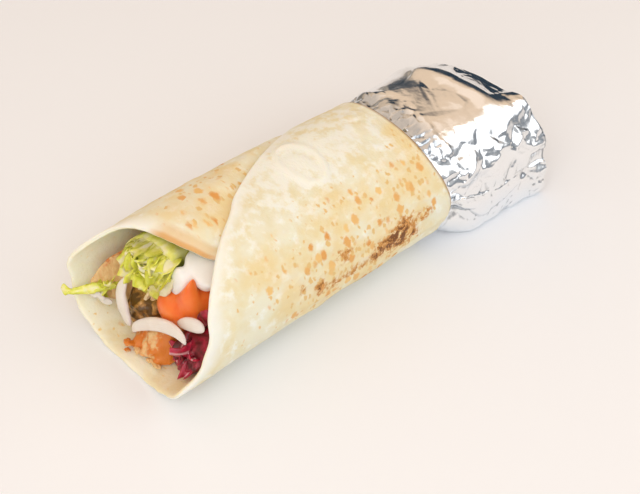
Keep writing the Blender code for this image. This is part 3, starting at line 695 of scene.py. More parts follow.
def reach_to_bread(y, z, ways):
    """How far each ray from (y, z) goes in the mouth's section before it meets the bread's room."""
    half_width = along(HALF_WIDTHS, MOUTH_X)
    half_height = (along(HEIGHTS, MOUTH_X) + PRESSED_FLAT) / 2
    near, far = np.zeros(len(ways)), np.full(len(ways), 100.0)
    for _ in range(18):  # halving the range each time
        halfway = (near + far) / 2
        at_y, at_z = y + ways[:, 0] * halfway, z + ways[:, 1] * halfway
        above = at_z + PRESSED_FLAT - half_height
        depth = filling_depth(np.degrees(np.arctan2(-at_y, -above)))
        across, up = np.abs(at_y) / (half_width - depth), np.abs(above) / (half_height - depth)
        inside = (across**ROUNDNESS + up**ROUNDNESS < 1) & (at_z > depth)
        near, far = np.where(inside, halfway, near), np.where(inside, far, halfway)
    return near


def cell_reach(name, ways):
    """A filling reaches halfway to its neighbours, or to the bread, with its corners rounded."""
    y, z, share = CELLS[name][:3]
    total = reach_to_bread(y, z, ways) ** -SHARPNESS
    for other, (other_y, other_z, other_share, *_) in CELLS.items():
        towards = np.array([other_y - y, other_z - z])
        distance = math.hypot(*towards)
        if other == name:
            continue
        facing = ways @ towards / distance
        wall = (distance * distance + share - other_share) / (2 * distance) - GAP / 2
        total += np.where(facing > 0.05, (wall / np.maximum(facing, 0.05)) ** -SHARPNESS, 0)
    return total ** (-1 / SHARPNESS)


def at_station(y, z, x):
    """A point of the mouth's section carried along the roll to x, keeping its share of the room."""

    def room(place):
        tight = FILLING_COVER + 1.3 * FOIL_ROOM * foil_room(place)
        return along(HALF_WIDTHS, place) - tight, tight, along(HEIGHTS, place) - tight - LAP_DEPTH

    wide, low, high = room(x)
    wide_0, low_0, high_0 = room(MOUTH_X)
    x, y, z = np.broadcast_arrays(x, y, z)
    return np.stack([x, y * wide / wide_0, low + (z - low_0) * (high - low) / (high_0 - low_0)], axis=-1)


def face_at(z, front):
    """The x of the mouth's slanting face at this height, this far back."""
    return FACE_X + FACE_SLANT * z + front


def filling_log(name, relief):
    """A filling that runs through the roll. Its domed front stands out by relief(points) mm."""
    y, z, _, front, dome, lump, lean = CELLS[name]
    turns = np.linspace(0, math.tau, 96, endpoint=False)
    ways = np.stack([np.cos(turns), np.sin(turns)], axis=1)
    reach = cell_reach(name, ways)
    shares = np.linspace(0.02, 1, 36)[:, None]
    at_y, at_z = y + ways[:, 0] * reach * shares, z + ways[:, 1] * reach * shares
    flat = np.stack([at_y, at_z, np.full_like(at_y, len(name))], axis=-1) * 0.22
    bump = lump * 3 * np.array([noise.noise(p) for p in flat.reshape(-1, 3).tolist()]).reshape(at_y.shape)
    x = face_at(at_z, front) + lean * (at_y - y) + dome * (shares**3 - 1) + bump * (1 - shares**6)
    head = at_station(at_y, at_z, x)
    head[..., 0] -= relief(head) * (1 - shares**8)
    stations = np.array([-72, -50, -30, -10, 10, 28, 38, 60, FILLING_BACK])[:, None]
    tail = at_station((y + ways[:, 0] * reach)[None, :], (z + ways[:, 1] * reach)[None, :], stations)
    rings = np.concatenate([head, tail])
    tips = np.array([head[0].mean(axis=0), at_station(y, z, FILLING_BACK + 3.0)])
    return loft(rings, tips)


def closed_sheet(grid, thick):
    """The points and faces of a thin sheet, thick mm through, tapering to its edges."""
    rows, columns = grid.shape[:2]
    taper = np.full((rows, columns), 0.35)
    taper[1:-1, 1:-1] = 1
    half = normals_of(grid) * (thick / 2 * taper)[..., None]
    points = np.concatenate([(grid + half).reshape(-1, 3), (grid - half).reshape(-1, 3)])
    return points, sheet_faces(rows, columns)


def kept_in(points):
    """These points, the outermost drawn in so that none goes through the bread round the mouth."""
    middle, soft, clear = np.array([0.0, 31.0]), 4, 0.4
    offset = points[:, 1:] - middle
    distance = np.linalg.norm(offset, axis=1)
    reach = reach_to_bread(*middle, offset / distance[:, None]) - clear
    past = np.maximum(distance - reach + soft, 0)
    drawn = np.where(distance > reach - soft, reach - soft * np.exp(-past / soft), distance)
    return np.column_stack([points[:, 0], middle + offset * (drawn / distance)[:, None]])


def joined(parts):
    """The points and faces of many parts as one, and the number of each point's part."""
    points, faces, owners, start = [], [], [], 0
    for number, (spots, polygons) in enumerate(parts):
        points.append(spots)
        faces += [[start + corner for corner in polygon] for polygon in polygons]
        owners.append(np.full(len(spots), number))
        start += len(spots)
    return np.concatenate(points), faces, np.concatenate(owners)


def ribbon(start, way, length, width, curl, turn, ruffle, seed):
    """A cut strip of leaf that runs out along a way and curls over, its edges gently ruffled."""
    way = np.array(Vector(way).normalized())
    side = np.cross(way, (math.cos(turn), 0.3, math.sin(turn)))
    side /= np.linalg.norm(side)
    over = np.cross(side, way)
    share, across = np.linspace(0, 1, 30)[:, None], np.linspace(0, 1, 13)[None, :]
    off_rib = across - 0.5
    bend = curl * share
    spine = np.array(start) + way * (length * np.sin(bend) / (abs(curl) + 0.01) * np.sign(curl))[..., None]
    spine = spine + over * (length * (1 - np.cos(bend)) / (abs(curl) + 0.01) * np.sign(curl))[..., None]
    lift = over * np.cos(bend)[..., None] - way * np.sin(bend)[..., None]
    wander = np.array([noise.noise((place * 2.5, seed * 1.7, 0)) for place in share[:, 0]])[:, None]
    cupped = off_rib * 2.4
    spread = width * (0.8 + 0.2 * np.sin(math.pi * share) + 0.4 * wander) * np.sin(cupped) / 2.4 * 1.3
    cup = width * 0.42 * (1 - np.cos(cupped)) * (1 + 0.6 * np.sin(3 * share + seed))
    rough = np.stack(np.broadcast_arrays(share * length / 6, off_rib * width / 6, seed * 3.1), axis=-1)
    waves = ruffle * grain(rough, 1.0) * (0.2 + 2.4 * np.abs(off_rib))
    grid = spine + side * spread[..., None] + lift * (cup + waves)[..., None]
    return closed_sheet(grid, LEAF_THICK), np.tile(np.broadcast_to(across, grid.shape[:2]).ravel(), 2)


def leaves(front, count, y, z, spread_y, spread_z, length, width, seed, ruffle):
    """A cluster of ribbons rooted behind a filling's face, spread evenly round its middle."""
    draw = random.Random(seed)
    made = []
    for k in range(count):
        turn = math.tau * k * 0.382  # the golden angle, which spreads them evenly
        out = ((k + 0.5) / count) ** 0.5
        at_y, at_z = y + spread_y * out * math.cos(turn) * 0.8, z + spread_z * out * math.sin(turn) * 0.8
        start = (face_at(at_z, front + 3), at_y, at_z)
        way = (-1, 0.35 * math.cos(turn) * draw.uniform(0.4, 1), 0.35 * math.sin(turn) * draw.uniform(0.4, 1))
        size = (length * draw.uniform(0.7, 1), width * draw.uniform(0.7, 1))
        curl, lean = draw.choice((-1, 1)) * draw.uniform(0.6, 2.0), draw.uniform(0, math.pi)
        made.append(ribbon(start, way, *size, curl, lean, ruffle, seed * 10 + k))
    return made


def leafy(core, clusters, core_tone, core_across, seed):
    """A core with clusters of ribbons over it. Each ribbon has a tone, and marks how far across it is."""
    strips = [strip for cluster in clusters for strip in leaves(*cluster)]
    points, faces, owner = joined([core] + [strip for strip, _ in strips])
    points[owner > 0] = kept_in(points[owner > 0])
    draw = random.Random(seed)
    tones = np.array([core_tone] + [draw.uniform(-1, 1) for _ in strips])
    across = np.concatenate([np.full(len(core[0]), core_across)] + [place for _, place in strips])
    return points, faces, {"tone": tones[owner], "across": across, "leaf_mm": points}


# How far back each cluster starts, how many ribbons it has, its middle, its spread each way, the
# ribbons' length and width, a seed, and how ruffled they are.
LETTUCE_CLUSTERS = (
    (1, 13, 15, 50, 20, 7, 15, 15, 5, 1.0),
    (2, 24, 15, 47, 21, 9, 12, 11, 8, 0.9),
    (-2, 15, 15, 40, 14, 4, 11, 11, 41, 0.9),
    (-6, 14, 34, 21.5, 9, 2, 11, 7, 31, 1.2),
)
leaf_finish, tree = new_material("iceberg_lettuce")
core = filling_log("lettuce", lambda p: 2.4 * grain(p, 5, 2) + 1.0 * grain(p, 2.2, 3) - 3.0)
points, faces, marks = leafy(core, LETTUCE_CLUSTERS, core_tone=-0.6, core_across=0.5, seed=12)
# How far behind the mouth's face each point lies, for the painted shade deeper in the roll.
marks["depth"] = points[:, 0] - face_at(points[:, 2], 0)
mesh_piece("lettuce_ribbons", points, faces, leaf_finish, "lettuce", marks)

# The lettuce tip: its path in mm, out of the heap and over the bread's lip.
TIP_PATH = ((-104, 24.5, 25.5), (-110, 30.5, 23.4), (-116, 34.8, 22.2), (-120.2, 38, 21), (-122, 42, 20),
            (-122.4, 45.5, 18.5))


def path_points(path, count):
    """Points on the smooth curve through a path."""
    at = np.linspace(0, 1, count)
    places = np.linspace(0, 1, len(path))
    return np.stack([along(list(zip(places, [p[axis] for p in path])), at) for axis in range(3)], axis=1)


# The tip: narrow, broad again near its end, its edges frilled as far as the broad part.
spine = path_points(TIP_PATH, 48)
side = np.cross(np.gradient(spine, axis=0), OUT_OF_MOUTH)
side /= np.linalg.norm(side, axis=1, keepdims=True)
share, off_rib = np.linspace(0, 1, 48)[:, None], np.linspace(-0.5, 0.5, 13)[None, :]
width = 2.6 + 4.2 * np.exp(-(((share - 0.86) / 0.1) ** 2)) + 2.4 * np.exp(-(((share - 0.3) / 0.18) ** 2))
width = width * np.sqrt(np.clip(share / 0.05, 0.05, 1) * np.clip((1 - share) / 0.2, 0.02, 1))
grid = spine[:, None] + side[:, None] * (off_rib * width)[..., None]
frill = 2.8 * grain(grid, 2.6, 5) * (0.3 + 2.2 * np.abs(off_rib)) * (1 - smooth((share - 0.68) / 0.12) * 0.9)
points, faces = closed_sheet(grid + np.array([-0.8, 0, 0.6]) * frill[..., None], TIP_THICK)
across = np.tile(np.broadcast_to(off_rib + 0.5, grid.shape[:2]).ravel(), 2)
depth, tone = np.zeros(len(points)), np.full(len(points), -0.2)
marks = {"tone": tone, "across": across, "leaf_mm": points, "depth": depth}
mesh_piece("lettuce_tip_ribbon", points, faces, leaf_finish, "lettuce_tip", marks)

# Raw leaf: a thin wet skin over pale watery flesh, so light passes through it and its edges glow. Deeper in
# the mouth it turns dark olive, which is painted shade.
leaf_mm = add(tree, "Attribute", attribute_name="leaf_mm").outputs["Vector"]
tone, across, depth = [
    add(tree, "Attribute", attribute_name=mark).outputs["Fac"] for mark in ("tone", "across", "depth")]
patch = add(tree, "TexNoise", {"Vector": leaf_mm, "Scale": 1 / 6, "Detail": 3.0})
from_rib = add(tree, "Math", {0: across, 1: 0.5}, operation="SUBTRACT")
from_rib = add(tree, "Math", {0: from_rib}, operation="ABSOLUTE")
ribbed = add(tree, "MapRange", {0: from_rib, 1: 0.0, 2: 0.5, 3: 0.14, 4: -0.16})
veined = add(tree, "Math", {0: ribbed, 1: patch}, operation="ADD")
mixed = add(tree, "Math", {0: tone, 1: 0.16, 2: veined}, operation="MULTIPLY_ADD")
green = add(tree, "ValToRGB", {0: mixed})
stops = green.color_ramp.elements
for position, colour in ((0.25, "#BDBE36"), (0.42, "#E0E157"), (0.56, "#F0EE8A"), (0.7, "#F9F6C6")):
    stops.new(position).color = linear(colour)
stops.remove(stops[0])
stops.remove(stops[-1])
# Painted shade: the leaf darkens to olive deeper behind the mouth's face.
inside = add(tree, "MapRange", {0: depth, 1: 1.0, 2: 7.0, 4: 0.8}, interpolation_type="SMOOTHSTEP")
deep = add(tree, "Mix", {0: inside, 6: green, 7: "#84800F"}, data_type="RGBA")
vein = add(tree, "TexNoise", {"Vector": leaf_mm, "Scale": 1 / 1.2, "Detail": 3.0})
bump = add(tree, "Bump", {"Height": vein, "Strength": 0.3, "Distance": 0.0005})
shader = add(tree, "BsdfPrincipled", {
    "Base Color": deep, "Roughness": 0.34, "Normal": bump,
    "Subsurface Weight": 0.35, "Subsurface Scale": 0.003, "Subsurface Radius": (0.7, 1.0, 0.25)})
add(tree, "OutputMaterial", {0: shader})

# The chicken.
# Two pieces of grilled chicken breast torn in strips. The one at +Y lies against the bread, pale with a
# seared edge, and the one in front is brushed with a paprika marinade that runs onto the bread.

chicken_finish, tree = new_material("grilled_chicken")


def torn(points, size, height, seed):
    """Relief of torn meat: fibres that run up and down, in bundles of this size."""
    stretched = points * np.array([1.0, 1.0, 0.35])
    return height * (grain(stretched, size, seed) + 0.5 * grain(stretched, size * 0.4, seed + 1))


def chunk(centre, sizes, turn, lumps, seed, steps=26, squareness=0.8):
    """A small uneven lump: a squared-off ball of these sizes in mm, turned and roughened."""
    rise = np.linspace(-math.pi / 2 * 0.96, math.pi / 2 * 0.96, steps)[:, None]  # just short of its poles
    round_about = np.linspace(0, math.tau, steps * 2, endpoint=False)[None, :]
    level = np.cos(rise)
    parts = [level * np.cos(round_about), level * np.sin(round_about), np.sin(rise) + 0 * round_about]
    ball = np.stack([np.sign(p) * np.abs(p) ** squareness for p in parts], axis=-1)
    coarse, fine = grain(ball * 10, 9, seed), grain(ball * 10, 3.5, seed + 1)
    turned = ball * (1 + lumps * coarse + 0.4 * lumps * fine)[..., None] * np.array(sizes) / 2
    spin = np.array(Vector((0, 0, 1)).rotation_difference(Vector(turn)).to_matrix())
    placed = turned @ spin.T + np.array(centre)
    return loft(placed, np.array([placed[0].mean(axis=0), placed[-1].mean(axis=0)]))


GRILLED_WAY = (0, 0.87, 0.5)
points, faces = filling_log("chicken_left", lambda p: torn(p, 4.5, 3.0, 5) + 0.7 * grain(p, 1.8, 6))
on_grill = points @ np.array(GRILLED_WAY)
sear = smooth((on_grill - on_grill[points[:, 0] < MOUTH_X].max() + 5) / 3)
marks = {"meat_mm": points, "sear": 0.7 * sear, "paprika": 0.05 + 0.75 * sear}
mesh_piece("chicken_strip_back", points, faces, chicken_finish, "chicken_left", marks)

front = filling_log("chicken_front", lambda p: torn(p, 7, 2.0, 9) + 0.6 * grain(p, 2.2, 4))
CRUMBS = (  # the middle of each, its sizes and the way its long axis points
    ((-113.6, 5.4, 3.6), (2.6, 2.4, 1.4), (0.2, 0.3, 1)),
    ((-111.6, 5.0, 7.2), (5.5, 3.0, 2.2), (0.6, 0.2, 1)),
    ((-111.5, 8.5, 5.6), (2.8, 4.4, 2.0), (0.1, 0.6, 1)),
    ((-108.7, -10.3, 4.6), (3, 8, 2), (0.3, 0, 1)),
    ((-109.6, -6.8, 4.2), (2.6, 3.4, 2), (0.2, 0.4, 1)),
    ((-98.9, -27.7, 5), (5, 9, 3), (0.2, 0.1, 1)),
    ((-110.3, 1.5, 4.5), (3, 5, 3), (0.3, 0.1, 1)),
)
crumbs = [chunk(*crumb, lumps=0.45, seed=number, steps=16) for number, crumb in enumerate(CRUMBS)]
points, faces, owner = joined([front] + crumbs)
edge = np.abs(points[:, 1] + 3) / 11
marinade = (0.78 + 0.4 * smooth((edge - 0.3) / 0.5)) * np.where(owner > 3, 0.35, 1)
marks = {"meat_mm": points, "sear": 0.25 * smooth(edge), "paprika": marinade}
mesh_piece("chicken_strip_front", points, faces, chicken_finish, "chicken_front", marks)

# Cooked meat: matt and pale where torn, browned where it met the grill, orange where the marinade
# clings. Fibres a little over a millimetre wide run along it.
meat_mm = add(tree, "Attribute", attribute_name="meat_mm").outputs["Vector"]
sear, paprika = [add(tree, "Attribute", attribute_name=mark).outputs["Fac"] for mark in ("sear", "paprika")]
lengthened = add(tree, "VectorMath", {0: meat_mm, 1: (1.0, 1.0, 0.3)}, operation="MULTIPLY")
fibre = add(tree, "TexNoise", {"Vector": lengthened, "Scale": 1 / 1.4, "Detail": 4.0, "Roughness": 0.6})
patch = add(tree, "TexNoise", {"Vector": meat_mm, "Scale": 1 / 4.5, "Detail": 4.0, "Roughness": 0.6})
flesh = add(tree, "Mix", {0: fibre, 6: "#DA9C5C", 7: "#F5DAA0"}, data_type="RGBA")
soaked = add(tree, "Math", {0: paprika, 1: patch}, operation="MULTIPLY")
orange = add(tree, "MapRange", {0: soaked, 1: 0.34, 2: 0.48}, interpolation_type="SMOOTHSTEP")
marinated = add(tree, "Mix", {0: orange, 6: flesh, 7: "#DE7F27"}, data_type="RGBA")
browned = add(tree, "Math", {0: sear, 1: patch}, operation="MULTIPLY")
brown = add(tree, "MapRange", {0: browned, 1: 0.25, 2: 0.6}, interpolation_type="SMOOTHSTEP")
seared = add(tree, "Mix", {0: brown, 6: marinated, 7: "#B4622C"}, data_type="RGBA")
bump = add(tree, "Bump", {"Height": fibre, "Strength": 0.5, "Distance": 0.0008})
shader = add(tree, "BsdfPrincipled", {
    "Base Color": seared, "Roughness": 0.45, "Normal": bump,
    "Subsurface Weight": 0.2, "Subsurface Scale": 0.002, "Subsurface Radius": (1.0, 0.5, 0.3)})
add(tree, "OutputMaterial", {0: shader})

# The mushroom.
# Fried brown mushrooms in slices, heaped in the middle of the mouth. The dark piece at the top is a cap,
# and the paler ones are cut stems.

mushroom_finish, tree = new_material("fried_mushroom")
core = filling_log("mushroom", lambda p: 1.6 * grain(p, 5.5, 6) + 0.4 * grain(p, 2.2, 7))
slices, tones = [core], [-0.7]
for y, z, ahead, sizes, turn, pale in (  # where it lies, how far back, its sizes, its way and its tone
    (13, 29, 4, (8, 15, 5), (0.3, 0.1, 1), -1.2), (17, 20, 3, (4, 3, 15), (0.3, 0.25, 1), 1.2),
    (11, 20, 1.5, (5, 2.6, 16), (0.25, -0.2, 1), 1.7), (6.5, 22, 2.5, (4, 3, 15), (0.3, 0.15, 1), 0.9),
    (12.5, 13.5, 2.0, (5, 10, 3.4), (0.2, 0.5, 1), 1.3), (3, 17, 3, (4, 3, 9), (0.4, -0.3, 1), 0.3),
):
    middle = (face_at(z, ahead), y, z)
    slices.append(chunk(middle, sizes, turn, lumps=0.16, seed=len(slices) * 7, steps=24))
    tones.append(pale)
points, faces, owner = joined(slices)
marks = {"slice_mm": points, "tone": np.array(tones)[owner]}
mesh_piece("mushroom_slices", points, faces, mushroom_finish, "mushroom", marks)

# Fried mushroom: tan flesh that has soaked up fat, with a dark wet skin in the folds.
slice_mm = add(tree, "Attribute", attribute_name="slice_mm").outputs["Vector"]
tone = add(tree, "Attribute", attribute_name="tone").outputs["Fac"]
patch = add(tree, "TexNoise", {"Vector": slice_mm, "Scale": 1 / 4.5, "Detail": 3.0, "Roughness": 0.55})
pale = add(tree, "Math", {0: tone, 1: 0.14, 2: patch}, operation="MULTIPLY_ADD")
brown = add(tree, "ValToRGB", {0: pale})
stops = brown.color_ramp.elements
for position, colour in ((0.37, "#634518"), (0.55, "#BF8B45"), (0.72, "#F2DBAE")):
    stops.new(position).color = linear(colour)
stops.remove(stops[0])
stops.remove(stops[-1])
bump = add(tree, "Bump", {"Height": patch, "Strength": 0.3, "Distance": 0.001})
shader = add(tree, "BsdfPrincipled", {"Base Color": brown, "Roughness": 0.35, "Normal": bump})
add(tree, "OutputMaterial", {0: shader})

# The radicchio.
# Red chicory shredded fine: purple leaves with white ribs, curled up against the near wall. One darker
# shred lies higher, behind the onion.

radicchio_finish, tree = new_material("radicchio_leaf")


def slice_on(path, width, thick, wave):
    """A curved slice: a flattened tube along a path, and how far across the slice each point is."""
    steps, sides = 44, 16
    spots = path_points(path, steps + 1)
    ahead = np.gradient(spots, axis=0)
    ahead /= np.linalg.norm(ahead, axis=1, keepdims=True)
    side = np.cross(ahead, np.array(Vector(OUT_OF_MOUTH).normalized()))
    side /= np.linalg.norm(side, axis=1, keepdims=True)
    outward = np.cross(side, ahead)
    share = np.arange(steps + 1) / steps
    size = np.sin(math.pi * np.clip(share, 0.004, 0.996)) ** 0.5
    size *= 1 + wave * np.array([noise.noise((place * 5, width, 0)) for place in share])
    turns = np.linspace(0, math.tau, sides, endpoint=False)
    wide = np.sign(np.cos(turns)) * np.abs(np.cos(turns)) ** 0.75 * width / 2
    deep = np.sign(np.sin(turns)) * np.abs(np.sin(turns)) ** 0.75 * thick / 2
    flat = side[:, None] * wide[None, :, None] + outward[:, None] * deep[None, :, None]
    rings = spots[:, None] + flat * size[:, None, None]
    points, faces = loft(rings[1:-1], spots[[0, -1]])
    return points, faces, np.append(np.tile(wide / width + 0.5, steps - 1), [0.5, 0.5])


core = filling_log("radicchio", lambda p: 1.5 * grain(p, 4, 8) + 0.6 * grain(p, 1.8, 9))
clusters = ((3, 6, -23.5, 17.2, 7, 10, 16, 8, 9, 1.5), (3, 12, -24, 16, 8, 10, 11, 6, 7, 1.5))
points, faces, marks = leafy(core, clusters, core_tone=-0.5, core_across=0.2, seed=2)
mesh_piece("radicchio_shreds", points, faces, radicchio_finish, "radicchio", marks)
SIDE_LEAF = ((-92.8, -26, 35), (-91, -28.5, 40.5), (-89.5, -31.5, 45.5))
points, faces, across = slice_on(SIDE_LEAF, width=7, thick=1.5, wave=0.4)
points[:, 0] += 0.6 * grain(points, 3, 5)
marks = {"tone": np.full(len(points), -0.2), "across": 0.2 * across, "leaf_mm": points}
mesh_piece("radicchio_side_leaf", points, faces, radicchio_finish, "radicchio_leaf", marks)

# Chicory leaf: a waxy purple skin, white at the rib where no colour forms.
leaf_mm = add(tree, "Attribute", attribute_name="leaf_mm").outputs["Vector"]
tone, across = [add(tree, "Attribute", attribute_name=mark).outputs["Fac"] for mark in ("tone", "across")]
patch = add(tree, "TexNoise", {"Vector": leaf_mm, "Scale": 1 / 4, "Detail": 3.0})
mixed = add(tree, "Math", {0: tone, 1: 0.15, 2: patch}, operation="MULTIPLY_ADD")
purple = add(tree, "MapRange", {0: mixed, 1: 0.3, 2: 0.7})
skin = add(tree, "Mix", {0: purple, 6: "#5E161C", 7: "#BE2444"}, data_type="RGBA")
from_rib = add(tree, "Math", {0: across, 1: 0.5}, operation="SUBTRACT")
from_rib = add(tree, "Math", {0: from_rib}, operation="ABSOLUTE")
rib = add(tree, "MapRange", {0: from_rib, 1: 0.14, 2: 0.03}, interpolation_type="SMOOTHSTEP")
ribbed = add(tree, "Mix", {0: rib, 6: skin, 7: "#D9A2A6"}, data_type="RGBA")
vein = add(tree, "TexNoise", {"Vector": leaf_mm, "Scale": 1 / 1.0, "Detail": 3.0})
bump = add(tree, "Bump", {"Height": vein, "Strength": 0.3, "Distance": 0.0005})
shader = add(tree, "BsdfPrincipled", {
    "Base Color": ribbed, "Roughness": 0.3, "Normal": bump,
    "Subsurface Weight": 0.15, "Subsurface Scale": 0.002, "Subsurface Radius": (1.0, 0.2, 0.3)})
add(tree, "OutputMaterial", {0: shader})

# The tomato.
# A wedge of ripe orange tomato, peeled by the cut and wet with its juice, its point standing up in front
# of the sauce.

tomato_finish, tree = new_material("ripe_tomato")


def fused(parts, voxel, rounds):
    """The parts melted into one smooth skin, its detail down to voxel mm."""
    points, faces, _ = joined(parts)
    lump = bpy.data.objects.new("lump", bpy.data.meshes.new("lump"))
    lump.data.from_pydata(points, [], faces)
    bpy.context.scene.collection.objects.link(lump)
    skin = lump.modifiers.new("skin", "REMESH")
    skin.mode, skin.voxel_size = "VOXEL", voxel
    even = lump.modifiers.new("even", "SMOOTH")
    even.factor, even.iterations = 0.5, rounds
    made = bpy.data.meshes.new_from_object(lump.evaluated_get(bpy.context.evaluated_depsgraph_get()))
    bpy.data.objects.remove(lump)
    points = np.empty(len(made.vertices) * 3)
    made.vertices.foreach_get("co", points)
    return points.reshape(-1, 3), [list(face.vertices) for face in made.polygons]


core = filling_log("tomato", lambda p: 0.8 * grain(p, 8, 4))
PEAK_Y = -15.5
peak, peak_faces = chunk((face_at(42, 2), PEAK_Y, 42), (8, 18, 24), (0.25, -0.1, 1),
                         lumps=0.04, seed=5, steps=30, squareness=0.95)
peak[:, 1] = PEAK_Y + (peak[:, 1] - PEAK_Y) * (1 - 0.85 * smooth((peak[:, 2] - 33) / 20))
lobe = chunk((face_at(30, 1), -7.5, 31), (10, 20, 15), (0.3, 0.25, 1), lumps=0.1, seed=8, squareness=0.9)
points, faces = fused([core, (peak, peak_faces), lobe], voxel=0.8, rounds=45)
mesh_piece("tomato_wedge", points, faces, tomato_finish, "tomato", {"flesh_mm": points})

# Tomato flesh: smooth and juicy, a strong orange that light sinks into.
flesh_mm = add(tree, "Attribute", attribute_name="flesh_mm").outputs["Vector"]
patch = add(tree, "TexNoise", {"Vector": flesh_mm, "Scale": 1 / 7, "Detail": 2.0})
flesh = add(tree, "Mix", {0: patch, 6: "#F0581E", 7: "#FF9844"}, data_type="RGBA")
fine = add(tree, "TexNoise", {"Vector": flesh_mm, "Scale": 1 / 1.5, "Detail": 2.0})
bump = add(tree, "Bump", {"Height": fine, "Strength": 0.15, "Distance": 0.0005})
shader = add(tree, "BsdfPrincipled", {
    "Base Color": flesh, "Roughness": 0.28, "Normal": bump,
    "Subsurface Weight": 0.3, "Subsurface Scale": 0.004, "Subsurface Radius": (1.0, 0.35, 0.1)})
add(tree, "OutputMaterial", {0: shader})

# The sauce.
# A thick white garlic and yoghurt sauce, spooned in a run down the middle and smoothed by the flap.

sauce_finish, tree = new_material("yoghurt_sauce")
core = filling_log("sauce", lambda p: 1.4 * grain(p, 11, 3) + 0.3 * grain(p, 4, 5))
dollop = chunk((face_at(44, 2.5), -7.0, 44), (8, 13, 17), (0.2, -0.3, 1),
               lumps=0.08, seed=3, steps=28, squareness=0.9)
points, faces = fused([core, dollop], voxel=0.7, rounds=30)
mesh_piece("sauce_run", points, faces, sauce_finish, "sauce", {"sauce_mm": points})

# Yoghurt sauce: opaque, creamy white and glossy, with a slow roll to its surface.
sauce_mm = add(tree, "Attribute", attribute_name="sauce_mm").outputs["Vector"]
cloud = add(tree, "TexNoise", {"Vector": sauce_mm, "Scale": 1 / 6, "Detail": 2.0})
cream = add(tree, "Mix", {0: cloud, 6: "#EEEAE2", 7: "#F6F5F0"}, data_type="RGBA")
bump = add(tree, "Bump", {"Height": cloud, "Strength": 0.2, "Distance": 0.001})
shader = add(tree, "BsdfPrincipled", {
    "Base Color": cream, "Roughness": 0.3, "Normal": bump,
    "Subsurface Weight": 0.4, "Subsurface Scale": 0.004, "Subsurface Radius": (1.0, 0.9, 0.75)})
add(tree, "OutputMaterial", {0: shader})

# The side slice.
# A thin golden piece of chicken on edge between the sauce and the near wall.

points, faces = filling_log("side_slice", lambda p: torn(p, 5, 0.9, 12))
edge = smooth((points[:, 2] - 44) / 5)
marks = {"meat_mm": points, "sear": 0.3 + edge, "paprika": np.full(len(points), 0.35)}
mesh_piece("chicken_strip_side", points, faces, chicken_finish, "side_slice", marks)

# The onion.
# Raw white onion cut across, so each piece is a crescent of one layer, about 2.5 mm through, bowed to
# the bulb's curve. Four of them lie loose in the mouth.

onion_finish, tree = new_material("raw_onion")
ONIONS = (  # the solid's name, the slice's width and thickness, and the path of its middle, mm
    ("onion_upright", 8, 3, ((-102.5, 16.5, 37), (-105, 18.8, 27.5), (-106.5, 16.8, 21), (-107.5, 13.2, 16),
                             (-108, 10.3, 12))),
    ("onion_arc", 7, 2.6, ((-108.5, 7.4, 11), (-107, 5, 16), (-104.4, -3.5, 23.7), (-102.7, -12.2, 29.2),
                           (-101.8, -19.6, 32.1), (-101.6, -25, 32.5), (-102, -29, 31))),
    ("onion_end", 7, 2.4, ((-98, -16.8, 31.5), (-96.5, -23.5, 36.2), (-95.3, -30, 39.5), (-94.6, -34, 40.5))),
    ("onion_lip", 5.5, 1.8, ((-113.5, 35.5, 18), (-111.5, 31.5, 18.3), (-109.6, 29, 15.2), (-107, 25.8, 14))),
)
for name, width, thick, path in ONIONS:
    points, faces, across = slice_on(path, width, thick, wave=0.12)
    marks = {"across": across, "slice_mm": points}
    mesh_piece(name + "_slice", points, faces, onion_finish, name, marks)

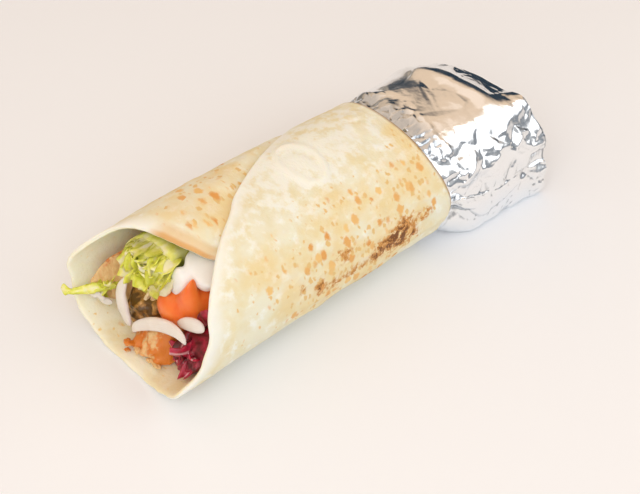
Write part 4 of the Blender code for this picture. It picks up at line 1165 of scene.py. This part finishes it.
# Raw onion: crisp, wet and half clear. Fine lines run along each layer, and one edge blushes.
slice_mm = add(tree, "Attribute", attribute_name="slice_mm").outputs["Vector"]
across = add(tree, "Attribute", attribute_name="across").outputs["Fac"]
patch = add(tree, "TexNoise", {"Vector": slice_mm, "Scale": 1 / 7, "Detail": 2.0})
over = add(tree, "CombineXYZ", {0: across})
lines = add(tree, "TexWave", {"Vector": over, "Scale": 2.2, "Distortion": 0.4}, wave_type="BANDS")
milky = add(tree, "Mix", {0: patch, 6: "#E6DCCD", 7: "#F2ECE3"}, data_type="RGBA")
blush = add(tree, "MapRange", {0: across, 1: 0.25, 2: 0.0, 4: 0.35}, interpolation_type="SMOOTHSTEP")
skin = add(tree, "Mix", {0: blush, 6: milky, 7: "#DDBFC4"}, data_type="RGBA")
bump = add(tree, "Bump", {"Height": lines, "Strength": 0.15, "Distance": 0.0004})
shader = add(tree, "BsdfPrincipled", {
    "Base Color": skin, "Roughness": 0.24, "Normal": bump,
    "Subsurface Weight": 0.5, "Subsurface Scale": 0.004, "Subsurface Radius": (1.0, 0.95, 0.8)})
add(tree, "OutputMaterial", {0: shader})

# The cabbage.
# One pale shred of white cabbage, leaning between the mushroom and the sauce.

cabbage_finish, tree = new_material("white_cabbage")
SHRED = ((-96.2, -1.2, 33.7), (-93.9, -3.6, 41), (-91.6, -6.8, 48))
points, faces, across = slice_on(SHRED, width=6, thick=2, wave=0.3)
marks = {"across": across, "slice_mm": points}
mesh_piece("cabbage_shred", points, faces, cabbage_finish, "cabbage_slice", marks)

# Cabbage: firm, waxy and nearly white, with green along one cut edge.
slice_mm = add(tree, "Attribute", attribute_name="slice_mm").outputs["Vector"]
across = add(tree, "Attribute", attribute_name="across").outputs["Fac"]
patch = add(tree, "TexNoise", {"Vector": slice_mm, "Scale": 1 / 3, "Detail": 3.0})
pale = add(tree, "Mix", {0: patch, 6: "#DDD3A2", 7: "#EFE8C8"}, data_type="RGBA")
edge = add(tree, "MapRange", {0: across, 1: 0.3, 2: 0.05, 4: 0.8}, interpolation_type="SMOOTHSTEP")
skin = add(tree, "Mix", {0: edge, 6: pale, 7: "#8E9A2C"}, data_type="RGBA")
shader = add(tree, "BsdfPrincipled", {
    "Base Color": skin, "Roughness": 0.35,
    "Subsurface Weight": 0.3, "Subsurface Scale": 0.003, "Subsurface Radius": (0.9, 1.0, 0.5)})
add(tree, "OutputMaterial", {0: shader})

size = {"cad": [list(corner) for corner in cad_box], "visual": [list(corner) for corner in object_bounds()]}
